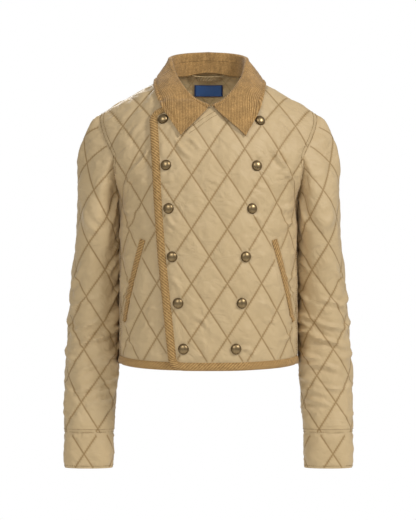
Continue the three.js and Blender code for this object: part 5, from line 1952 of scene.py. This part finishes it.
@dataclass
class Collar:
    """The corduroy collar: a leaf that falls over a stand."""

    pattern: Pattern
    stock: Stock
    leaf: float = 2.4
    stand: float = 2.0
    roll: float = 3.2
    clearance: float = 0.9
    inset: float = 2.5
    seam_gap: float = 0.4
    loft: float = 3.0
    stations: int = 84
    stand_ends: float = 0.95
    edge_stitch: float = 6.3
    pitch: float = 3.6
    stitch: tuple[float, float] = (2.7, 0.7)
    # share of the way to the front; fold X, Y, Z and shift; edge X, Y, Z and shift; inner drop
    line: Table = Table(
        (
            (0, 0, 50, 61, -1, 0, 80, -4, 0, 12),
            (0.2, 42, 44, 58, -1, 53, 72, -4, 0.5, 12),
            (0.4, 66, 22, 51, -1, 87, 42, -2, 1.5, 12),
            (0.55, 67.5, -4, 41, 0, 97, -2, 1, 2, 10),
            (0.7, 55, -38, 6, 1.5, 94, -46, -26, 3, 4.5),
            (0.85, 31, -69, -27, 2, 82, -80, -57, 6, 2),
            (1, 5, -88, -45, 5, 57, -107, -99, 8.4, 1),
        )
    )

    def __post_init__(self) -> None:
        """Finds the points just inside the neck seam on both sides."""
        self.rows = StitchRows()
        self.seams = {side: self._neck_seam(side) for side in Side}

    def _neck_seam(self, side: Side) -> Array:
        """The neck seam from the middle of the back to the front, moved in a little."""
        cut = self.pattern
        places = []
        for degrees in np.linspace(-90, 86, 90):
            face = Face.BACK if degrees < 0 else Face.FRONT
            x = cut.body.neck_half_width * math.cos(math.radians(degrees))
            v = min(float(cut.body.cloth_up_to(cut.neck_level(face, x))), cut.body.shoulder_v - cut.gap)
            u = face.value * side.value * cut.body.reach(face, x, v)
            place = cut.place_back
            if face is Face.FRONT:
                place = cut.place_flap if side is Side.LEFT else cut.place_front
            places.append(place(np.array(u), np.array(v), np.array(0.0)))
        seam = np.array(places)
        along = unit(np.gradient(seam * np.array([1, 1, 0]), axis=0))
        inward = np.stack([-along[:, 1], along[:, 0], 0 * along[:, 0]], -1)
        facing = np.sign((inward * seam).sum(1, keepdims=True))
        return seam - inward * facing * self.inset

    def at(self, kind: int, side: Side, share: float) -> Array:
        """A point of the fold (kind 1) or of the free edge (kind 5)."""
        x, y, z, shift = (float(self.line.read(kind + k, share)) for k in range(4))
        return np.array([side.value * x + shift, y, z])

    def station(self, side: Side, share: float) -> tuple[Array, Array, Array, Array, Array]:
        """The collar's foot, its directions up and out, the roll's middle, and the inner seam."""
        fold = self.at(1, side, share)
        along = unit(self.at(1, side, min(share + 0.02, 1)) - self.at(1, side, max(share - 0.02, 0)))
        seams = self.seams[side]
        foot = seams[np.argmin(np.linalg.norm(seams - fold, axis=1))]
        out = np.zeros(3)
        for _ in range(4):
            up = fold - out * self.roll - foot
            up = unit(up - along * up.dot(along))
            out = np.cross(along, up)
            out *= np.sign(out.dot(np.array([fold[0], fold[1] + 15, 0])))
        core = fold - up * self.roll
        seam = core - out * self.roll - up * float(self.line.read(9, share))
        return foot, up, out, core, seam

    def clear(self, points: Array) -> Array:
        """Moves points out until they clear the quilting and the overlapping front."""
        cut = self.pattern
        result = points.copy()
        for face in Face:
            chosen = (points[:, 1] > 0) == (face is Face.BACK)
            if not chosen.any():
                continue
            near = points[chosen]
            surface = cut.body.surface(face)
            spots = [cut.body.spot(face, p[0], p[2]) for p in near]
            u, v = np.array(spots).T
            for _ in range(8):
                away = near - surface(u, v)
                across = (surface(u + 1, v) - surface(u - 1, v)) / 2
                up = (surface(u, v + 1) - surface(u, v - 1)) / 2
                aa, ab, bb = (across**2).sum(1), (across * up).sum(1), (up**2).sum(1)
                da, db = (away * across).sum(1), (away * up).sum(1)
                spread = np.maximum(aa * bb - ab * ab, 1e-9)
                u = u + np.clip((da * bb - db * ab) / spread, -12, 12)
                v = np.minimum(v + np.clip((db * aa - da * ab) / spread, -12, 12), cut.body.shoulder_v - 1)
            base = surface(u, v)
            outward = unit(wrap(surface, u, v, np.ones(len(u))) - base)
            height = ((near - base) * outward).sum(1)
            flap_top = float(cut.body.cloth_up_to(cut.flap_top))
            beside = cut.lift * (1 - smooth(flap_top + 2, flap_top + cut.flap_neck, v))
            lifted = np.where(u > 0, cut.lift_at(u), beside) if face is Face.FRONT else 0
            needed = 2 + self.loft + self.leaf / 2 + self.clearance + lifted
            result[chosen] = near + outward * np.maximum(needed - height, 0)[:, None]
        return result

    def leaf_line(self, side: Side, share: float) -> Array:
        """The leaf's middle line: up from the inner seam, over the roll and down to the edge."""
        _, up, out, core, seam = self.station(side, share)
        angle = np.radians(np.linspace(0, 180, 13))[:, None]
        round_it = core - out * self.roll * np.cos(angle) + up * self.roll * np.sin(angle)
        start = round_it[-1]
        edge = self.clear(self.at(5, side, share)[None])[0]
        length = np.linalg.norm(edge - start)
        leaving = start - up * 0.2 * length + out * 0.1 * length
        arriving = mix(edge, start, 0.4) + out * 0.04 * length
        t = np.linspace(0, 1, 21)[1:, None]
        fall = (1 - t) ** 3 * start + 3 * t * (1 - t) ** 2 * leaving + 3 * t * t * (1 - t) * arriving
        fall = self.clear(fall + t**3 * edge)
        inner = mix(seam, round_it[0], np.linspace(0, 1, 6)[:-1, None])
        return np.concatenate([inner, round_it, fall])

    def stand_line(self, side: Side, share: float) -> Array:
        """The stand's middle line, from the neck seam up to the leaf's inner seam."""
        foot, up, _, _, seam = self.station(side, share)
        return mix(foot, seam - up * self.seam_gap, np.linspace(0, 1, 9)[:, None])

    @staticmethod
    def flat_places(grid: Array) -> Array:
        """Flat places for the wales, which run up and down all round the neck."""
        angle = np.arctan2(grid[..., 0], -(grid[..., 1] + 15))
        fallen = np.cumsum(np.linalg.norm(np.diff(grid, axis=1, prepend=grid[:, :1]), axis=-1), axis=1)
        in_front = 1 - smooth(0.7, 1.3, np.abs(angle))
        return np.stack([mix(angle * 72, grid[..., 0], in_front), fallen], -1) * MM

    def wall(
        self, name: str, line_at: Callable[[Side, float], Array], end: float, thickness: float
    ) -> bpy.types.Object:
        """One wall from the viewer's left round the back to the right.

        Args:
            name: The solid that it replaces.
            line_at: Its middle line at a share of the way to the front.
            end: The share at which it ends.
            thickness: Its thickness.

        Returns:
            The dressed wall.
        """
        shares = np.linspace(0, end, self.stations + 1)
        rows = [line_at(Side.RIGHT, share) for share in shares[:0:-1]]
        rows += [line_at(Side.LEFT, share) for share in shares]
        grid = np.array(rows)
        if name == "collar_leaf":
            grid = self.pressed(grid)
        made = wall_object(name + "_corduroy", grid, thickness, [self.stock.corduroy], self.flat_places(grid))
        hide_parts(name)
        dress(made)
        return made

    def pressed(self, grid: Array) -> Array:
        """The leaf with its stitched edge, its soft dents, and its row of stitches laid."""
        outward = unit(np.cross(np.gradient(grid, axis=0), np.gradient(grid, axis=1)))
        run = np.cumsum(np.linalg.norm(np.diff(grid, axis=1, prepend=grid[:, :1]), axis=-1), axis=1)
        past = np.cumsum(np.linalg.norm(np.diff(grid, axis=0, prepend=grid[:1]), axis=-1), axis=0)
        off = np.minimum(run[:, -1:] - run, np.minimum(past, past[-1] - past))
        fallen = smooth(34, 56, run)
        dents = ripple(past, run, 42, 51) + 0.5 * ripple(past, run, 20, 52)
        groove = -1.6 * np.exp(-(((off - self.edge_stitch) / 1.9) ** 2))
        bead = 1.0 * np.exp(-(((off - 2.6) / 2.2) ** 2))
        top = self.leaf / 2 - 0.35
        line = np.array(
            [
                [np.interp(length[-1] - self.edge_stitch, length, axis) for axis in row.T]
                for length, row in zip(run, grid)
            ]
        )
        facing = np.array([direction[-4] for direction in outward])
        inner = (past[:, -1] > self.edge_stitch) & (past[-1, -1] - past[:, -1] > self.edge_stitch)
        self.rows.add_line(line[inner] + facing[inner] * top, facing[inner], self.pitch)
        for end in (0, -1):
            near = past if end == 0 else past[-1] - past
            columns = np.flatnonzero((run[end] > 44) & (run[end, -1] - run[end] > self.edge_stitch))
            rows = [int(np.argmin(np.abs(near[:, k] - self.edge_stitch))) for k in columns]
            front = grid[rows, columns] + outward[rows, columns] * top
            self.rows.add_line(front, outward[rows, columns], self.pitch)
        return grid + outward * ((groove + bead + 0.55 * dents) * fallen)[..., None]

    def build(self) -> list[bpy.types.Object]:
        """Makes the leaf with its stitches, and the stand."""
        leaf = self.wall("collar_leaf", self.leaf_line, 1.0, self.leaf)
        stand = self.wall("collar_stand", self.stand_line, self.stand_ends, self.stand)
        sewn = self.rows.make("collar_leaf_stitches", self.stock.tape_thread, *self.stitch, seed=21)
        dress(sewn)
        return [leaf, stand, sewn]


@dataclass
class NeckTrim:
    """The hanger loop and the label inside the back of the neck."""

    pattern: Pattern
    stock: Stock
    gap: float = 1.2
    loop_thickness: float = 1.2
    loop_sag: float = 2.6
    loop_size: tuple[float, float] = (10, 52)
    label_thickness: float = 0.8
    label_sag: float = 0.3
    label_size: tuple[float, float] = (52, 20)

    def strip(
        self, name: str, top: tuple[float, float], bottom: tuple[float, float], thickness: float, sag: float
    ) -> Array:
        """A strip's grid of points; top and bottom give half the width and the height."""
        rows = []
        for share in np.linspace(-1, 1, 41):
            row = []
            for up in np.linspace(0, 1, 9):
                half, z = mix(bottom[0], top[0], up), mix(bottom[1], top[1], up)
                u, v = self.pattern.body.spot(Face.BACK, -share * half, z)
                off = self.gap + thickness / 2 + sag * (1 - share**2)
                row.append(self.pattern.place_back(np.array(u), np.array(v), np.array(-off)))
            rows.append(row)
        return np.array(rows)

    def build(self) -> list[bpy.types.Object]:
        """Makes both."""
        loop = self.strip("hanger_loop", (30, 20), (21, 12.5), self.loop_thickness, self.loop_sag)
        share = np.stack(np.meshgrid(np.linspace(-1, 1, 9), np.linspace(-1, 1, 41)), -1)[..., ::-1]
        made_loop = wall_object(
            "hanger_loop_tape", loop, self.loop_thickness, [self.stock.loop], share * np.array([26, 4]) * MM
        )
        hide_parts("hanger_loop")
        dress(made_loop)
        label = self.strip("label", (26, 3.5), (26, -16.5), self.label_thickness, self.label_sag)
        made_label = wall_object("label_satin", label, self.label_thickness, [self.stock.label], share)
        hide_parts("label")
        dress(made_label)
        return [made_loop, made_label]


@dataclass(frozen=True)
class Lamp:
    """A square soft lamp aimed at the jacket's middle, in metres and watts."""

    name: str
    place: tuple[float, float, float]
    size: float
    watts: float
    aim: tuple[float, float, float] = (0, 0, -0.3)

    def build(self) -> None:
        """Hangs the lamp."""
        lamp = bpy.data.lights.new(self.name, "AREA")
        lamp.size = self.size
        lamp.energy = self.watts
        made = bpy.data.objects.new(self.name, lamp)
        made.location = self.place
        aim = Vector(self.aim) - made.location
        made.rotation_euler = aim.to_track_quat("-Z", "Y").to_euler()
        bpy.context.scene.collection.objects.link(made)


@dataclass
class Studio:
    """A plain pale floor, soft light from the upper right, and the photograph's camera."""

    scale: float = 1.8  # millimetres to a pixel of the photograph, at the jacket's middle
    distance: float = 4000.0
    photo_width: int = 416
    middle_px: tuple[float, float] = (208.5, 260.0)
    eye_z: float = -316.8
    floor_z: float = -1.0
    floor_radius: float = 1.7
    room_light: float = 0.32
    lamps: tuple[Lamp, ...] = (
        Lamp("key from the upper right", (2.4, -1.9, 1.8), 0.8, 79),
        Lamp("fill from the front left", (-1.2, -3.3, 1.7), 1.6, 55),
        Lamp("light from behind", (-0.9, 2.8, 1.6), 1.4, 66),
    )

    def camera(self) -> None:
        """The camera, level with the jacket's middle."""
        lens = bpy.data.cameras.new("camera")
        lens.sensor_fit = "HORIZONTAL"
        lens.sensor_width = 36.0
        lens.lens = lens.sensor_width * self.distance / (self.photo_width * self.scale)
        camera = bpy.data.objects.new("camera", lens)
        x = (self.photo_width / 2 - self.middle_px[0]) * self.scale * MM
        camera.location = (x, -self.distance * MM, self.eye_z * MM)
        camera.rotation_euler = (math.pi / 2, 0, 0)
        bpy.context.scene.collection.objects.link(camera)
        bpy.context.scene.camera = camera

    def backdrop(self) -> None:
        """The floor and a white room around it, which lights the jacket less than it shows."""
        angle = np.linspace(0, 2 * math.pi, 96, endpoint=False)
        points = np.stack([np.cos(angle), np.sin(angle), 0 * angle], -1) * self.floor_radius / MM
        points[:, 2] = self.floor_z / MM
        paper, _, shader, _ = Finish("white paper", WHITE_PAPER, WHITE_PAPER, 0.9).start()
        shader.inputs["Base Color"].default_value = linear(WHITE_PAPER)
        floor = mesh_object("floor", points, [list(range(len(angle)))], [paper])
        world = bpy.data.worlds.new("room")
        world.use_nodes = True
        room = world.node_tree
        room.nodes.clear()
        ray = node(room, "ShaderNodeLightPath")
        dim = node(room, "ShaderNodeBackground", {"Color": (1, 1, 1, 1), "Strength": self.room_light})
        bright = node(room, "ShaderNodeBackground", {"Color": (1, 1, 1, 1), "Strength": 1.0})
        seen = node(room, "ShaderNodeMixShader", {0: ray.outputs["Is Camera Ray"], 1: dim, 2: bright})
        node(room, "ShaderNodeOutputWorld", {"Surface": seen})
        bpy.context.scene.world = world
        bpy.context.scene.view_settings.view_transform = "Standard"

    def build(self) -> None:
        """Sets the whole room up."""
        self.camera()
        self.backdrop()
        for lamp in self.lamps:
            lamp.build()


def main() -> None:
    """Makes the studio, then each part of the jacket in the order in which it is sewn."""
    logging.basicConfig(level=logging.INFO, format="%(message)s")
    Studio().build()
    body = BodyForm()
    pattern = Pattern(body, SleeveForm(body))
    stock = Stock()
    trunk = Trunk(pattern, stock)
    made = trunk.build()
    left, right, back = trunk.panels
    bindings = (
        Binding("tape_front_left", left.taped[0][2:], left),
        Binding("tape_front_right", right.taped[0], right),
        Binding("tape_back", back.taped[0], back),
    )
    for binding in bindings:
        made += binding.build(stock)
    for side in Side:
        made += Sleeve(side, pattern, stock).build()
    made += Collar(pattern, stock).build()
    made += NeckTrim(pattern, stock).build()
    log.info("%d pieces, %d faces", len(made), sum(len(piece.data.polygons) for piece in made))


if __name__ == "__main__":
    main()
